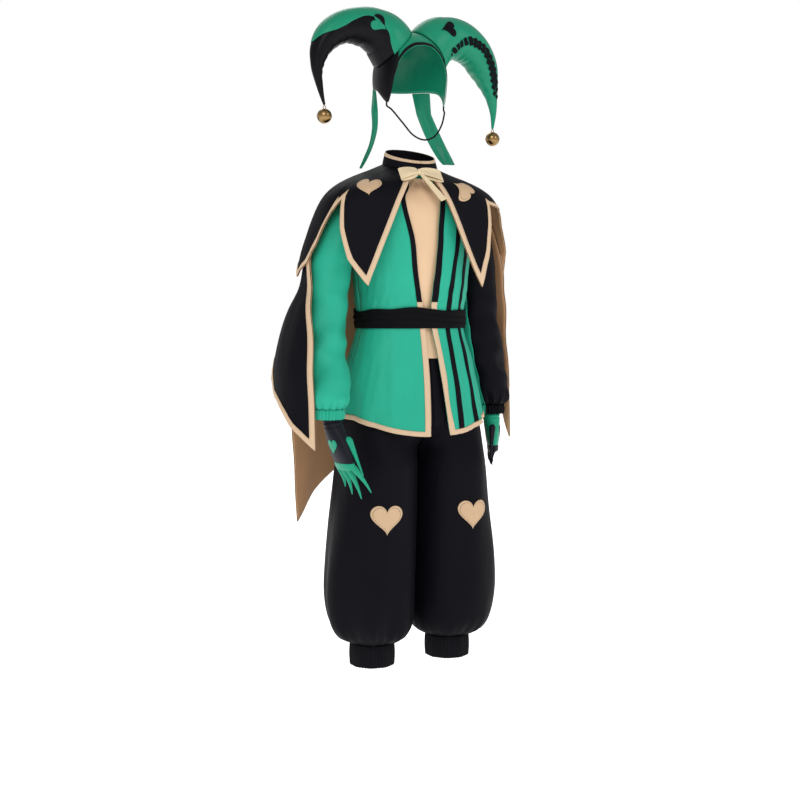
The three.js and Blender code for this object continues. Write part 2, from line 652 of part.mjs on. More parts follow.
function makeSleeves() {
  const rows = whole(-CAP_STEPS.length, SLEEVE_RIGHT.length - 1);
  const around = steps(0, 360, 14).slice(0, 14);
  const right = clothGrid(around, rows, (turn, row) => sleevePoint(SLEEVE_RIGHT, -1, turn, row), true);
  add('sleeve_right', shell(right, -CLOTH, 0), 'green');
  const cuffRight = cuffGrid(933.5, 911, -249, -99, 31, 32, -1, 0, 360, 18, true);
  add('cuff_right', shell(cuffRight, -1.5, 0), 'green');
  // The left sleeve is black outside and green along its inner and front part.
  const left = (turn, row) => sleevePoint(SLEEVE_LEFT, 1, turn, row);
  const away = (turn, row) => {
    const middle = [0, 90, 180, 270].reduce((sum, at) => sum.add(left(at, row)), vec(0, 0, 0));
    return left(turn, row).addScaledVector(middle, -0.25).normalize();
  };
  const outer = clothGrid(steps(-54, 189, 9), rows, left, false, away);
  add('sleeve_left_outer', shell(outer, -CLOTH, 0), 'black');
  const inner = clothGrid(steps(189.8, 305.2, 5), rows, left, false, away);
  add('sleeve_left_inner', shell(inner, -CLOTH, 0), 'green');
  const outerCuff = cuffGrid(921.5, 899, 230, 18, 30, 31, 1, -54, 189, 12, false);
  add('cuff_left_outer', shell(outerCuff, -1.5, 0), 'black');
  const innerCuff = cuffGrid(921.5, 899, 230, 18, 30, 31, 1, 190.4, 304.6, 6, false);
  add('cuff_left_inner', shell(innerCuff, -1.5, 0), 'green');
}

// Vest front inside the jacket, from side seam to side seam.
const VEST_HEIGHTS = [1448, 1425, 1395, 1345, 1280, 1200, 1130, 1085, 1040];
function makeVest() {
  const grid = clothGrid(steps(-58, 58, 7), VEST_HEIGHTS, (turn, z) => {
    const edge = read([[1448, 34], [1425, 42], [1395, 50], [1340, 56], [1040, 56]], z);
    const p = draped(JACKET, turn * edge / 58, z);
    const out = vec(p.x, p.y, 0);
    return p.addScaledVector(out.normalize(), -6.5 + 2 * smooth(Math.abs(turn), 38, 56));
  });
  add('vest_front', shell(grid, -CLOTH, 0), 'vest');
}

// Soft sash round the waist, over the jacket; its top edge waves.
function makeSash() {
  const grid = clothGrid(steps(0, 360, 26).slice(0, 26), [0, 0.5, 1], (turn, share) => {
    const top = 1152 + 3 * Math.sin(rad(turn * 3 + 20)) + 2 * Math.sin(rad(turn * 7));
    const z = lerp(top, 1108, share);
    const p = draped(JACKET, turn, z);
    const puff = 3.6 + 2.4 * Math.sin(Math.PI * share);
    return p.addScaledVector(vec(p.x, p.y, 0).normalize(), puff + CLOTH);
  }, true);
  add('sash', shell(grid, -CLOTH, 0), 'sash');
}

// Trousers. Columns for the waist: height, half width, depth in front, depth behind.
const WAIST = [
  [1110, 122.6, 87, 92], [1060, 130, 95, 98], [1000, 142, 104, 108], [940, 155, 113, 118],
  [880, 168, 121, 127], [800, 178, 128, 132],
];
// One leg: height, middle sideways, half width, half depth, forward shift.
const LEG = [
  [880, 86, 84, 118, 0], [800, 89, 87.5, 126, 0], [740, 93, 91.5, 124, 0], [660, 99, 97.5, 121, 0],
  [580, 104, 102.5, 119, 0], [510, 107, 105, 117, 0], [465, 105.5, 103, 112, 0],
  [430, 102, 97, 102, 0], [405, 99.5, 84, 86, 0], [394, 98, 66, 68, 0], [388, 98, 50, 51, 0],
];
const LEG_ROWS = [1108, 1000, 895, 845, 805, 720, 620, 530, 460, 425, 402, 388];
const CROTCH = 795;
const SEAT = 905;
const LEG_FOLDS = 7;
// Height of the trousers' hearts, and their place in hundredths of the way round the leg.
const LEG_HEARTS = { height: 683, right: 28.3, left: 25 };

// A point of the right leg: share 0 is the front seam, 1 the back seam.
function legPoint(share, z) {
  const turn = 180 * share;
  const c = Math.cos(rad(turn));
  const s = Math.sin(rad(turn));
  const depth = read(WAIST, z, c > 0 ? 2 : 3);
  const hip = vec(-0.15 - read(WAIST, z) * bend(s, 0.85), -depth * bend(c, 0.85), z);
  const w = read(LEG, z, 2);
  const angle = rad(360 * share);
  const puff = smooth(-z, -520, -400) * 3.2 * Math.sin(angle * LEG_FOLDS);
  const slit = 0.15 * (share < 0.5 ? -1 : 1) * (share === 0 || share === 1 ? 1 : 0);
  const x = -read(LEG, z) + (w + puff * 0.4) * Math.cos(angle);
  const y = -(read(LEG, z, 3) + puff) * Math.sin(angle) + slit;
  const leg = vec(Math.min(x, -0.6), y, z);
  return hip.lerp(leg, smooth(-z, -SEAT, -CROTCH));
}

function makeTrousers() {
  const shares = steps(0, 1, 17);
  const right = clothGrid(shares, LEG_ROWS, legPoint);
  add('trouser_leg_right', shell(right, -CLOTH, 0), 'black');
  const mirror = (p) => vec(-p.x, p.y, p.z);
  const left = clothGrid([...shares].reverse(), LEG_ROWS, (share, z) => mirror(legPoint(share, z)));
  add('trouser_leg_left', shell(left, -CLOTH, 0), 'black');
  const band = clothGrid(steps(0, 360, 18).slice(0, 18), [1125, 1109], (turn, z) => {
    const c = Math.cos(rad(turn));
    return vec(-122.6 * bend(Math.sin(rad(turn)), 0.85), -(c > 0 ? 87 : 92) * bend(c, 0.85), z);
  }, true);
  add('trouser_waistband', shell(band, -1.8, 0), 'black');
  [['right', -1], ['left', 1]].forEach(([name, side]) => {
    const cuff = cuffGrid(387.6, 336, side * 98, 0, 50, 51, side, 0, 360, 18, true);
    add(`trouser_cuff_${name}`, shell(cuff, -1.8, 0), 'black');
    const place = (share, z) => {
      const p = legPoint(Math.abs(share) / 100, z);
      return side < 0 ? p : mirror(p);
    };
    const middle = -side * LEG_HEARTS[name];
    const outline = heartOutline(LEG_HEART, 18);
    add(`trouser_heart_${name}`, laid(outline, place, middle, LEG_HEARTS.height, 0, 1.1, 2.3), 'gold');
  });
}

// Hood. Columns: height, half width, depth in front, depth behind.
const HOOD = [
  [1625, 79, 80, 92], [1655, 82, 88, 99], [1690, 84, 92, 104], [1720, 81, 88, 100],
  [1750, 71, 77, 88], [1772, 55, 60, 68], [1787, 36, 40, 44], [1795, 18, 20, 22], [1797.5, 3, 3, 3],
];
const HOOD_TOP = 1797.5;
const FACE_EDGE = [[0, 1757], [20, 1753], [36, 1738], [46, 1716], [54, 1682], [60, 1648], [66, 1628],
  [72, 1629], [82, 1643], [96, 1660], [112, 1668], [130, 1672], [180, 1672]];
const COLOUR_SEAM = 48;          // turn of the seam where black meets green
const FACE_BINDING = 8;
function hoodPoint(turn, z) {
  const c = Math.cos(rad(turn));
  const s = Math.sin(rad(turn));
  const depth = read(HOOD, z, c > 0 ? 2 : 3);
  return vec(-read(HOOD, z) * s, -depth * c, z);
}
function hoodEdge(turn) {
  const around = turn % 360;
  return read(FACE_EDGE, Math.min(around, 360 - around));
}
const hoodHeight = (turn, share) => {
  const low = hoodEdge(turn);
  return HOOD_TOP - (HOOD_TOP - low) * (1 - share) ** 1.7;
};

function hoodSolid(away) {
  const heights = HOOD.map((row) => row[0]).reverse();
  const grid = clothGrid(steps(0, 360, 24).slice(0, 24), heights, hoodPoint, true);
  return solidOf(stuffed(grid, away));
}

function makeHood() {
  const shares = [1, 0.82, 0.6, 0.4, 0.2, 0];
  // The first and last columns keep half a seam's gap at every height.
  const crown = (turns) => {
    const place = (k, share) => {
      const z = hoodHeight(turns[k], share);
      const gap = deg(SEAM / read(HOOD, z));
      const side = Number(k === 0) - Number(k === turns.length - 1);
      return [turns[k] + side * gap, z];
    };
    const columns = whole(0, turns.length - 1);
    const point = (k, share) => hoodPoint(...place(k, share));
    return clothGrid(columns, shares, point, false, (k, share) => normalOf(hoodPoint, ...place(k, share)));
  };
  const black = [COLOUR_SEAM, 54, 60, 66, 78, 92, 112, 130, 155, 180];
  const green = [180, 205, 230, 248, 268, 282, 294, 300, 306, 314, 324, 340, 360, 380, 396,
    360 + COLOUR_SEAM];
  add('hat_crown_black', shell(crown(black), -CLOTH, 0), 'black');
  add('hat_crown_green', shell(crown(green), -CLOTH, 0), 'satinGreen');
  const turns = [294, 300, 306, 314, 324, 340, 360, 380, 396, 408, 414, 420, 426];
  const place = (turn, inner) => {
    const around = Math.min(turn % 360, 360 - (turn % 360));
    const steep = Math.cos(rad(around * 1.25));
    return [turn, hoodEdge(turn) + inner * FACE_BINDING / Math.max(steep, 0.35)];
  };
  const binding = clothGrid(turns, [1, 0], (...at) => hoodPoint(...place(...at)), false, (...at) => {
    return normalOf(hoodPoint, ...place(...at));
  });
  add('hat_face_binding', shell(binding, 0.8, 2), 'black');
}

// Horns. Columns: sideways place, forward place, height, radius.
const HORN_RIGHT = [
  [-20, 2, 1716, 58], [-60, 2, 1776, 57], [-96, 2, 1796, 50], [-131, 0, 1800, 44], [-170, 0, 1795, 37],
  [-206, -2, 1773, 32], [-229, -3, 1740, 24], [-237, -4, 1706, 16], [-236, -4, 1680, 11],
  [-227, -3, 1642, 6], [-219, -3, 1614, 2.6],
];
const HORN_LEFT = [
  [20, 2, 1716, 58], [60, 2, 1778, 57], [96, 2, 1793, 52], [124, 2, 1794, 49], [155, 2, 1782, 45],
  [178, 2, 1763, 41], [199, 2, 1732, 36], [212, 2, 1699, 26], [222, 2, 1663, 15],
  [227, 2, 1624, 7.5], [225, 2, 1588, 2.6],
];
const HORN_SIDES = 12;

// A point of a horn: place along it in rows of the table, and turn from its upper side,
// with 90 in front.
function hornPoint(table, along, turn, away = 0) {
  const rows = table.map((row, i) => [i, ...row]);
  const spot = (at) => vec(read(rows, at, 1), read(rows, at, 2), read(rows, at, 3));
  const low = Math.max(along - 0.2, 0);
  const high = Math.min(along + 0.2, table.length - 1);
  const ahead = spot(high).sub(spot(low)).normalize();
  const front = vec(0, -1, 0);
  const side = Math.sign(table[0][0]);
  const upper = front.clone().cross(ahead).multiplyScalar(side).normalize();
  const radius = read(rows, along, 4) + away;
  return spot(along).addScaledVector(upper, radius * Math.cos(rad(turn)))
    .addScaledVector(front, radius * Math.sin(rad(turn)));
}

const PANEL_EDGE = [[0.4, 120], [0.7, 117], [1, 112], [1.55, 96], [2.05, 84], [2.5, 70], [3.05, 66],
  [3.7, 78], [4.3, 87], [5, 78], [5.65, 38], [5.95, 12]];
const BRAID_LINE = [[1.5, 136], [1.8, 130], [2.75, 112], [3.5, 96], [4.25, 90], [5.05, 82],
  [5.8, 84], [6.45, 84], [7.25, 80], [8, 76]];
const BRAID_FROM = 1.5;

const hornRadius = (table, along) => read(table.map((row, i) => [i, row[3]]), along);

function hornGrid(table) {
  const around = steps(0, 360, HORN_SIDES).slice(0, HORN_SIDES);
  return clothGrid(around, steps(0, 10, 14), (turn, at) => hornPoint(table, at, turn), true);
}

function makeHorns() {
  const hood = hoodSolid(2);
  const half = (side) => {
    const far = 400;
    const low = side > 0 ? vec(0.15, -far, 1500) : vec(-far, -far, 1500);
    const high = side > 0 ? vec(far, far, 2000) : vec(-0.15, far, 2000);
    return blockSolid(low, high);
  };
  [['right', HORN_RIGHT, -1, 'black'], ['left', HORN_LEFT, 1, 'satinGreen']].forEach(
    ([name, table, side, look]) => {
      const horn = solidOf(stuffed(hornGrid(table))).subtract(hood).intersect(half(side));
      add(`hat_horn_${name}`, geometryFrom(horn), look);
    },
  );
  // The green panel is a second layer over the horn, cut out between two lines.
  const places = steps(0.2, 5.9, 9);
  const limit = (share, at) => lerp(-97 + 80 * smooth(at, 4.6, 5.9), read(PANEL_EDGE, at), share);
  const wedge = clothGrid(steps(0, 1, 4), places, (share, at) => {
    return hornPoint(HORN_RIGHT, at, limit(share, at));
  }, false, (share, at) => {
    const turn = limit(share, at);
    const core = hornPoint(HORN_RIGHT, at, turn, -hornRadius(HORN_RIGHT, at));
    return hornPoint(HORN_RIGHT, at, turn).sub(core);
  });
  const layer = solidOf(shell(hornGrid(HORN_RIGHT), 0.4, 1.6));
  const panel = layer.intersect(solidOf(shell(wedge, -0.8, 0.3))).subtract(hood).intersect(half(-1));
  add('hat_horn_right_top', geometryFrom(panel), 'satinGreen');
  const braid = clothGrid([1, 0, -1], steps(BRAID_FROM, 8, 32), (side, at) => {
    const odd = Math.round((at - BRAID_FROM) / (8 - BRAID_FROM) * 32) % 2;
    const radius = hornRadius(HORN_LEFT, at);
    const width = (odd ? 11.5 : 8.5) * clamp(radius / 20, 0.35, 1);
    const turn = read(BRAID_LINE, at) - side * deg(width / radius);
    return hornPoint(HORN_LEFT, at, turn);
  });
  add('hat_braid', shell(braid, 1, 2.6), 'black');
  const on = (table) => (turn, at) => hornPoint(table, at / 30, Math.abs(turn));
  const outline = heartOutline(HORN_HEART, 16);
  add('hat_heart_left', laid(outline, on(HORN_LEFT), -70, 1.65 * 30, 5, 0.6, 1.8), 'black');
  add('hat_heart_right', laid(outline, on(HORN_RIGHT), 86, 2.2 * 30, 25, 2.3, 3.5), 'black');
}

// Chin elastic: a thin band from one ear corner under the chin to the other.
const ELASTIC = [
  [-74.3, -27.6, 1629], [-74, -28.6, 1619], [-68, -43, 1608], [-50, -62, 1577], [-28, -70, 1550],
  [0, -72, 1540], [28, -70, 1550], [50, -62, 1577], [68, -43, 1608], [74, -28.6, 1619],
  [74.3, -27.6, 1629],
];
function makeElastic() {
  const curve = new THREE.CatmullRomCurve3(ELASTIC.map((spot) => vec(...spot)));
  const section = new THREE.Shape(steps(0, 360, 5).slice(0, 5).map((angle) => {
    return new THREE.Vector2(2 * Math.cos(rad(angle)), 2 * Math.sin(rad(angle)));
  }));
  const tube = new THREE.ExtrudeGeometry(section, { steps: 22, extrudePath: curve, bevelEnabled: false });
  add('hat_chin_elastic', tube, 'black');
}

// Green tails sewn to the nape's edge. Columns: sideways place, forward place, height, half
// width, turn.
const TAIL_RIGHT = [[-62, 62, 1620, 15, 35], [-64, 57, 1580, 12, 30],
  [-76, 50, 1540, 9, 25], [-94, 44, 1505, 7, 20], [-108, 42, 1480, 3, 15]];
const TAIL_LEFT = [[70, 64, 1620, 18, -36], [84, 55, 1580, 19, -30],
  [98, 46, 1545, 19, -25], [110, 34, 1515, 18, -20], [118, 26, 1498, 15, -15]];
const NAPE = [112, 130, 155, 205, 230, 248];

// The middle of the hood's wall on its lower edge, between the columns of the hood.
function napePoint(turn) {
  const k = NAPE.findIndex((at) => at >= turn);
  const corner = (at) => {
    const inwards = normalOf(hoodPoint, at, hoodEdge(at)).multiplyScalar(-0.6);
    return hoodPoint(at, hoodEdge(at)).add(inwards);
  };
  const share = (turn - NAPE[k - 1]) / (NAPE[k] - NAPE[k - 1]);
  return corner(NAPE[k - 1]).lerp(corner(NAPE[k]), share);
}

function makeTails() {
  [['right', TAIL_RIGHT, [115, 130, 145]], ['left', TAIL_LEFT, [215, 230, 245]]].forEach(
    ([name, table, turns]) => {
      const grid = clothGrid([-1, 0, 1], whole(0, table.length), (side, k) => {
        if (k === 0) return napePoint(turns[side + 1]).sub(vec(0, 0, SEAM + 0.1));
        const [x, y, z, w, turn] = table[k - 1];
        const across = side * w;
        const back = side === 0 ? 2 : 0;
        return vec(x + across * Math.cos(rad(turn)), y + across * Math.sin(rad(turn)) + back, z);
      });
      add(`hat_tail_${name}`, shell(grid, -CLOTH / 2, CLOTH / 2), 'satinGreen');
    },
  );
}

// Round jingle bells: a shell with a slot below, a rim round the middle and a loop on top.
function makeBell(name, x, y, z) {
  const profile = (radius) => steps(-90, 90, 6).map((angle) => {
    const rim = Math.abs(angle) < 1 ? 1.2 : 0;
    return new THREE.Vector2((radius + rim) * Math.cos(rad(angle)), radius * Math.sin(rad(angle)));
  });
  const ball = (radius) => {
    const points = profile(radius);
    points[0].x = 0;
    points[points.length - 1].x = 0;
    const lathe = new THREE.LatheGeometry(points, 10);
    lathe.rotateX(Math.PI / 2);
    return solidOf(lathe);
  };
  const slot = blockSolid(vec(-20, -1.4, -20), vec(20, 1.4, -5));
  const eye = new THREE.TorusGeometry(3.4, 1, 4, 7);
  eye.rotateX(Math.PI / 2);
  eye.translate(0, 0, BELL_RADIUS + 2.6);
  const bell = ball(BELL_RADIUS).subtract(ball(BELL_RADIUS - 1.2)).subtract(slot).add(solidOf(eye));
  const geometry = geometryFrom(bell);
  geometry.translate(x, y, z);
  add(name, geometry, 'brass');
}

// Gloves. Each finger: root across the hand, tip (sideways, forward, height), root radius.
function makeGlove(name, spec) {
  const { wrist, knuckle, wide, look, claw } = spec;
  const across = vec(Math.sin(rad(wide)), -Math.cos(rad(wide)), 0);
  const down = knuckle.clone().sub(wrist).normalize();
  const thick = across.clone().cross(down).normalize();
  const HAND = [[0, 20.5, 20], [0.16, 21, 20], [0.34, 28, 20], [0.6, 37, 18], [0.85, 41, 16], [1, 40, 14]];
  const HAND_ROWS = [0, 0.16, 0.34, 0.65, 1];
  const point = (turn, share, away = 0) => {
    const spot = wrist.clone().lerp(knuckle, share);
    return spot.addScaledVector(across, (read(HAND, share, 1) + away) * Math.cos(rad(turn)))
      .addScaledVector(thick, (read(HAND, share, 2) + away) * Math.sin(rad(turn)));
  };
  const around = steps(0, 360, 10).slice(0, 10);
  const hand = clothGrid(around, HAND_ROWS, (turn, share) => point(turn, share), true);
  const handSolid = (away) => solidOf(stuffed(clothGrid(around, HAND_ROWS, (turn, share) => {
    return point(turn, share, away);
  }, true)));
  add(`glove_${name}_hand`, shell(hand, -CLOTH, 0), look);
  const cone = (from, to, width, flat, less) => {
    const along = to.clone().sub(from);
    const ring = clothGrid(steps(0, 360, 5).slice(0, 5), [0, 1], (turn, share) => {
      const size = read([[0, 1], [1, 0.13]], share);
      const spot = from.clone().addScaledVector(along, share * (less ? 0.94 : 1) - (less ? 0.03 : 0));
      return spot.addScaledVector(across, Math.max(width * size - less, 0.3) * Math.cos(rad(turn)))
        .addScaledVector(thick, Math.max(flat * size - less, 0.3) * Math.sin(rad(turn)));
    }, true);
    return solidOf(stuffed(ring));
  };
  // The finger piece: a short band across the knuckles with four hollow claws.
  const below = knuckle.clone().addScaledVector(down, SEAM * 2);
  const band = (less) => {
    const lift = less ? -1 : 0;
    return solidOf(stuffed(clothGrid(around, [lift, 14 - less], (turn, drop) => {
      const size = 1 - 0.04 * Math.max(drop, 0) / 14;
      return below.clone().addScaledVector(down, drop)
        .addScaledVector(across, (40 * size - less) * Math.cos(rad(turn)))
        .addScaledVector(thick, (14 * size - less) * Math.sin(rad(turn)));
    }, true)));
  };
  let outside = band(0);
  let inside = band(CLOTH);
  spec.fingers.forEach(([offset, x, y, z]) => {
    const root = below.clone().addScaledVector(across, offset).addScaledVector(down, 3);
    outside = outside.add(cone(root, vec(x, y, z), 9.5, 10.5, 0));
    inside = inside.add(cone(root, vec(x, y, z), 9.5, 10.5, CLOTH));
  });
  add(`glove_${name}_fingers`, geometryFrom(outside.subtract(inside)), claw);
  const [thumbRoot, thumbTip] = spec.thumb;
  const thumb = cone(thumbRoot, thumbTip, 7.5, 9, 0).subtract(cone(thumbRoot, thumbTip, 7.5, 9, CLOTH));
  add(`glove_${name}_thumb`, geometryFrom(thumb.subtract(handSolid(SEAM + 0.2))), claw);
  const back = spec.back;
  const surface = (turn, share) => point(turn, share / 100);
  const middle = wrist.clone().lerp(knuckle, 0.5);
  const heart = heartOutline(34, 14);
  add(`glove_${name}_heart`, laid(heart, surface, back, 66, 0, 0.5, 1.5, middle), claw);
}

// Bow at the throat: two flat loops, a knot and one tail. It leans back with the capelet.
const BOW = vec(-26.4, -94.6, 1463);
const BOW_LEAN = 0.7;
const BOW_LOOPS = [{ side: -1, reach: 46, dip: 0.17 }, { side: 1, reach: 56, dip: 0.13 }];
const BOW_TAIL = [[0, -3, -2, 3], [6, -5, -12, 5], [15, -6, -27, 6.5], [26, -6, -46, 7.5],
  [38, -6, -66, 8.5]];

// A point of the bow, from its place sideways, forward and up.
function bowPoint(x, y, z) {
  return BOW.clone().add(vec(x, y + BOW_LEAN * z, z));
}

function makeBow() {
  const loopPoint = ({ side, reach, dip }) => (turn, row) => {
    const out = reach * (1 - Math.cos(rad(turn))) / 2;
    const open = Math.sin(rad(turn)) * 8;
    const across = row * (6 + 9 * Math.sin(rad(turn / 2)));
    return bowPoint(side * (out + 3), -2 + 0.1 * out - open * 0.4, across * 0.9 + open * 0.5 - dip * out);
  };
  const loop = (spec) => solidOf(shell(clothGrid(steps(8, 352, 8), [-1, 1], loopPoint(spec)), -0.6, 0.6));
  const knot = new THREE.SphereGeometry(6.5, 8, 6);
  knot.scale(0.75, 0.8, 1.1);
  knot.translate(BOW.x, BOW.y - 2, BOW.z);
  const tail = clothGrid([-1, 1], BOW_TAIL, (side, [x, y, z, w]) => {
    return bowPoint(x + side * w * 0.85, y, z + side * w * 0.4);
  });
  const loops = BOW_LOOPS.map(loop);
  const bow = solidOf(knot).add(loops[0]).add(loops[1]).add(solidOf(shell(tail, -0.6, 0.6)));
  add('bow', geometryFrom(bow), 'satin');
}

makeCapelet();
makeCollar();
makeCape();
makeJacket();
makeSleeves();
makeVest();
makeSash();
makeTrousers();
makeHood();
makeHorns();
makeElastic();
makeTails();
makeBell('bell_right', -219, -3, 1589);
makeBell('bell_left', 225, 2, 1563.7);
makeBow();
makeGlove('right', {
  wrist: vec(-248, -100, 924),
  knuckle: vec(-229, -134, 821),
  wide: 4,
  look: 'black',
  claw: 'green',
  fingers: [[30, -179, -166, 754], [10, -195, -150, 740], [-10, -208, -131, 749], [-30, -216, -112, 764]],
  thumb: [vec(-227, -150, 876), vec(-208, -188, 795)],
  back: -90,
});
makeGlove('left', {
  wrist: vec(230, 17, 912),
  knuckle: vec(226, 3, 826),
  wide: -26,
  look: 'green',
  claw: 'black',
  fingers: [[30, 207, -30, 788], [10, 214, -15, 777], [-10, 220, 2, 778], [-30, 226, 20, 785]],
  thumb: [vec(209.5, -24.5, 876), vec(192, -46, 796)],
  back: 90,
});

export default costume;
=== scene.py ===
"""Looks of the pierrot costume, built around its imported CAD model.

Sizes are millimetres and heights are above the soles of the wearer, as in the part's source;
they become metres in the row's frame when a mesh is made. The wearer faces -Y.
"""

from __future__ import annotations

import logging
import math
from collections.abc import Callable, Sequence
from dataclasses import dataclass
from enum import Enum

import bmesh
import bpy
import numpy as np
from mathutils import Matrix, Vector


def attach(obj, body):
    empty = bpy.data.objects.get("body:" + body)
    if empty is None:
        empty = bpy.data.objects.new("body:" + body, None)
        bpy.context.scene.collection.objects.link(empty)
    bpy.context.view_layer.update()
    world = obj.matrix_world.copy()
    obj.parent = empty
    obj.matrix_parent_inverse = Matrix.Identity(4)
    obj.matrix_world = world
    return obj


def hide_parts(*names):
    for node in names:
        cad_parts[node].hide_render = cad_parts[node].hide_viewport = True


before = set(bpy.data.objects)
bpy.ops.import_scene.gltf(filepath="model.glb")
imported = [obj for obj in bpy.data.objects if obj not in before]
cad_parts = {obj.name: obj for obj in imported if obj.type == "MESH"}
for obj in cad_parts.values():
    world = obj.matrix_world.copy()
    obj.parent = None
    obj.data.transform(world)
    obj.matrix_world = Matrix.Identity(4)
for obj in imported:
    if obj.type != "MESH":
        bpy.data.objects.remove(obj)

LOG = logging.getLogger("costume")
Array = np.ndarray
Surface = Callable[[Array, Array], Array]

NECK_HEIGHT = 1450.0
NECK_TILT = 14.0
CLOTH = 1.2
TRIM = 13.0
BINDING = 11.0
STRIPE = 13.5


class Side(Enum):
    """The wearer's sides, with the sign of their X."""

    RIGHT = -1
    LEFT = 1


# Reading tables


def read(table: Sequence[Sequence[float]], at: Array, column: int = 1) -> Array:
    """Reads a smooth curve through the rows of a table.

    Args:
        table: Rows sorted by their first column, rising or falling.
        at: Where to read, in the first column's unit.
        column: The column to read.

    Returns:
        The values, in the shape of `at`.
    """
    rows = np.asarray(table, float)
    if rows[0, 0] > rows[-1, 0]:
        rows = rows[::-1]
    x, y = rows[:, 0], rows[:, column]
    high = np.minimum(np.arange(len(x)) + 1, len(x) - 1)
    low = np.maximum(np.arange(len(x)) - 1, 0)
    slope = (y[high] - y[low]) / (x[high] - x[low])
    at = np.clip(np.asarray(at, float), x[0], x[-1])
    k = np.clip(np.searchsorted(x, at), 1, len(x) - 1)
    span = x[k] - x[k - 1]
    t = (at - x[k - 1]) / span
    return (
        (2 * t**3 - 3 * t**2 + 1) * y[k - 1]
        + (3 * t**2 - 2 * t**3) * y[k]
        + span * ((t**3 - 2 * t**2 + t) * slope[k - 1] + (t**3 - t**2) * slope[k])
    )


def smooth(x: Array, low: float, high: float) -> Array:
    """Rises smoothly from 0 at low to 1 at high.

    Args:
        x: Sideways places.
        low: The lower end.
        high: The upper end.

    Returns:
        Values from 0 to 1.
    """
    t = np.clip((np.asarray(x, float) - low) / (high - low), 0, 1)
    return t * t * (3 - 2 * t)


def points_of(x: Array, y: Array, z: Array) -> Array:
    """Joins three arrays of coordinates into one array of points.

    Args:
        x: Sideways places.
        y: Places from front to back.
        z: Heights above the soles.

    Returns:
        The points.
    """
    x, y, z = np.broadcast_arrays(np.asarray(x, float), y, z)
    return np.stack([x, y, z], axis=-1)


def bend(value: Array, power: Array) -> Array:
    """A power that keeps its value's sign.

    Args:
        value: The values.
        power: The power.

    Returns:
        The bent values.
    """
    return np.sign(value) * np.abs(value) ** power


def unit(vectors: Array) -> Array:
    """Vectors scaled to a length of 1.

    Args:
        vectors: The vectors, in the last axis.

    Returns:
        The unit vectors.
    """
    return vectors / np.maximum(np.linalg.norm(vectors, axis=-1, keepdims=True), 1e-9)


def ripple(a: Array, b: Array, seed: int, waves: int = 6) -> Array:
    """A soft irregular ripple between about -1 and 1, the same on each run.

    Args:
        a: First coordinate, about one wave for each unit.
        b: Second coordinate.
        seed: Picks the pattern.
        waves: How many waves are laid over each other.

    Returns:
        The ripple at those places.
    """
    dice = np.random.default_rng(seed)
    total = 0.0
    for _ in range(waves):
        ka, kb = dice.normal(0, 1, 2)
        total = total + np.sin(2 * np.pi * (ka * a + kb * b) + dice.uniform(0, 6.28))
    return total / math.sqrt(waves)


# Sewing: meshes from grids of points


def normals_of(points: Array, closed: bool) -> Array:
    """Outward unit normals of a grid of points; outward is away from each row's middle.

    Args:
        points: Points in millimetres.
        closed: Whether the last column joins the first.

    Returns:
        The normals, one for each point.
    """
    if closed:
        across = np.roll(points, -1, 0) - np.roll(points, 1, 0)
    else:
        across = np.gradient(points, axis=0)
    normals = unit(np.cross(across, np.gradient(points, axis=1)))
    middle = points.mean(axis=0, keepdims=True)
    if np.sum(normals * (points - middle)) < 0:
        normals = -normals
    return normals


@dataclass
class Grid:
    """A grid of points on a piece of cloth, columns first.

    Attributes:
        points: Array of columns x rows x 3, in millimetres.
        closed: Whether the last column joins the first.
        normals: Outward directions; measured where none are given.
    """

    points: Array
    closed: bool = False
    normals: Array | None = None

    def __post_init__(self) -> None:
        """Finds the normals where none are given."""
        if self.normals is None:
            self.normals = normals_of(self.points, self.closed)

    def away(self, distance: float | Array) -> Grid:
        """The same grid moved out along its normals.

        Args:
            distance: How far out.

        Returns:
            The moved grid.
        """
        step = np.asarray(distance, float)
        step = step[..., None] if step.ndim else step
        return Grid(self.points + self.normals * step, self.closed, self.normals)


def grid_of(across: Array, down: Array, surface: Surface, closed: bool = False) -> Grid:
    """The grid of a surface at the given places.

    Args:
        across: Places of the columns.
        down: Places of the rows.
        surface: The surface that it lies on.
        closed: Whether the last column joins the first.

    Returns:
        The grid.
    """
    u, v = np.meshgrid(np.asarray(across, float), np.asarray(down, float), indexing="ij")
    return Grid(surface(u, v), closed)


